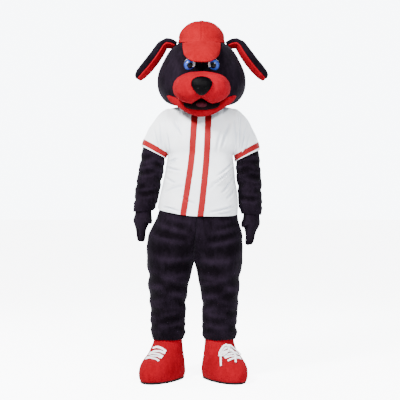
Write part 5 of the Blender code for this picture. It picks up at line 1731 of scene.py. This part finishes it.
def over_upper(x, y, lift):
    """A place that lies off the upper by a lift, over a place in its plan."""
    slope_x = (upper_top(x + SLOPE_STEP, y) - upper_top(x - SLOPE_STEP, y)) / (2.0 * SLOPE_STEP)
    slope_y = (upper_top(x, y + SLOPE_STEP) - upper_top(x, y - SLOPE_STEP)) / (2.0 * SLOPE_STEP)
    out = np.array([-slope_x, -slope_y, 1.0])
    return np.array([x, y, upper_top(x, y)]) + out / np.linalg.norm(out) * lift


def end_route(plan):
    """The middle line of a hanging lace end in the costume's frame, to a tenth of a millimetre."""
    corners = table("at x y", *[(index, *corner) for index, corner in enumerate(plan)])
    route = []
    for along in np.linspace(0.0, len(plan) - 1.0, END_POINTS):
        place = [float(smooth(corners, name, along)) for name in "xy"]
        x, y, height = over_upper(*place, END_LIFT + LACE_THICKNESS / 2)
        across = x * math.cos(TOE_OUT) - y * math.sin(TOE_OUT) + ANKLE_MIDDLE[0]
        back = x * math.sin(TOE_OUT) + y * math.cos(TOE_OUT) + ANKLE_MIDDLE[1]
        route.append((across + smooth(LEAN, "shift", height), back, height + FLOOR))
    return np.round(route, ROUTE_DECIMALS)


def make_gloves(finishes):
    """The gloves, each a stuffed hand that is open at the wrist."""
    for side in SIDES:
        glove = skin_of(f"glove_{side}", f"glove_{side}_plush", GLOVE_WALL)
        round_off(glove, 2)
        rumple(glove, *UNEVEN["glove"])
        give_wall(glove, GLOVE_WALL)
        finish_piece(glove, finishes, "plush_black", f"glove_{side}", smooth_angle=SOFT_ANGLE)


def make_shoes(finishes):
    """The padded shoes: rounded uppers, bevelled rubber soles, and the flat laces settled on the uppers."""
    for side in SIDES:
        upper = skin_of(f"shoe_upper_{side}", f"shoe_{side}", SHOE_WALL)
        round_off(upper, 3)
        rumple(upper, *UNEVEN["shoe"])
        soft = tree_of(upper)
        give_wall(upper, SHOE_WALL)
        finish_piece(upper, finishes, "plush_red", f"shoe_upper_{side}", smooth_angle=SEWN_ANGLE)
        sole = copy_of(f"shoe_sole_{side}", f"shoe_{side}_sole")
        soften_outline(sole)
        finish_piece(sole, finishes, "sole_black", f"shoe_sole_{side}", smooth_angle=CRISP_ANGLE)
        solid = tree_of(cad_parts[f"shoe_upper_{side}"])
        make_lace(finishes, f"lace_{side}", f"shoe_{side}_lace", solid, soft)
        if side == "left":
            make_bow(finishes, solid, soft)


def soften_outline(sole):
    """Rounds a sole's outline seen from above and keeps its edges crisp, then breaks those edges."""
    select_corners(sole, SOLE_CORNER)
    bpy.ops.transform.edge_crease(value=1.0)
    bpy.ops.object.mode_set(mode="OBJECT")
    rounding = sole.modifiers.new("rounding", "SUBSURF")
    rounding.levels = 2
    rounding.render_levels = 2
    edge = sole.modifiers.new("edge", "BEVEL")
    edge.width = SOLE_BEVEL
    edge.segments = 2
    edge.limit_method = "ANGLE"
    edge.angle_limit = math.radians(SOLE_CORNER)
    apply_modifiers(sole)


def make_lace(finishes, node, name, solid, soft):
    """A lace in short lengths, which follow the rounded upper that it rests on."""
    lace = copy_of(node, name)
    divided(lace, 1)
    set_points(lace, settle(points_of(lace), solid, soft))
    finish_piece(lace, finishes, "lace_white", node, smooth_angle=CRISP_ANGLE)
    return lace


def make_bow(finishes, solid, soft):
    """The tied bow of the left shoe, and its two ends, which hang free."""
    bow = copy_of("lace_bow_left", "shoe_left_bow")
    remeshed(bow, BOW_GRAIN)
    set_points(bow, settle(points_of(bow), solid, soft))
    soften(bow, factor=0.5, repeats=6)
    finish_piece(bow, finishes, "lace_white", "lace_bow_left")
    for name, plan in END_PLANS.items():
        end = make_lace(finishes, f"lace_end_left_{name}", f"shoe_left_lace_end_{name}", solid, soft)
        path = settle(end_route(plan), solid, soft)
        tuple(path[0])
        [tuple(point) for point in path]


# ------------------------------------------------------------
# The whole costume
# ------------------------------------------------------------


# The size that each piece of cloth was cut to, and its flat area; a tube's width is all round it.
CUTS = table(
    "piece width length area held rests_on",
    ("plush_front_left", 0.420, 1.330, 0.402, "draped", ()),
    ("plush_front_right", 0.420, 1.330, 0.404, "draped", ()),
    ("plush_back_left", 0.420, 1.330, 0.395, "draped", ()),
    ("plush_back_right", 0.420, 1.330, 0.396, "draped", ()),
    ("plush_sleeve_left", 0.460, 0.590, 0.215, "draped", ()),
    ("plush_sleeve_right", 0.460, 0.590, 0.211, "draped", ()),
    ("jersey_front_knit", 0.600, 0.620, 0.326, "draped", ("plush_front_left", "plush_front_right")),
    ("jersey_back_knit", 0.580, 0.610, 0.312, "draped", ("plush_back_left", "plush_back_right")),
    ("jersey_sleeve_left_knit", 0.500, 0.290, 0.087, "draped", ("plush_sleeve_left",)),
    ("jersey_sleeve_right_knit", 0.480, 0.270, 0.076, "draped", ("plush_sleeve_right",)),
    ("jersey_stripe_left_cloth", 0.036, 0.565, None, "laid", ("jersey_front_knit",)),
    ("jersey_stripe_right_cloth", 0.036, 0.565, None, "laid", ("jersey_front_knit",)),
    ("sleeve_band_left_cloth", 0.490, 0.030, None, "laid", ("jersey_sleeve_left_knit",)),
    ("sleeve_band_right_cloth", 0.470, 0.030, None, "laid", ("jersey_sleeve_right_knit",)),
    ("glove_left_plush", 0.300, 0.200, 0.053, "draped", ()),
    ("glove_right_plush", 0.300, 0.200, 0.053, "draped", ()),
)


def declare_cloth():
    """Reads what each piece of cloth rests on from the table of cuts; nothing is set from it."""
    for cut in CUTS:
        list(cut["rests_on"])


set_camera()
set_light()
set_floor()
finishes = make_finishes()
cover = make_jersey(finishes)
make_suit(finishes, cover)
make_head(finishes)
make_eyes(finishes)
make_pads(finishes)
make_gloves(finishes)
make_shoes(finishes)
declare_cloth()
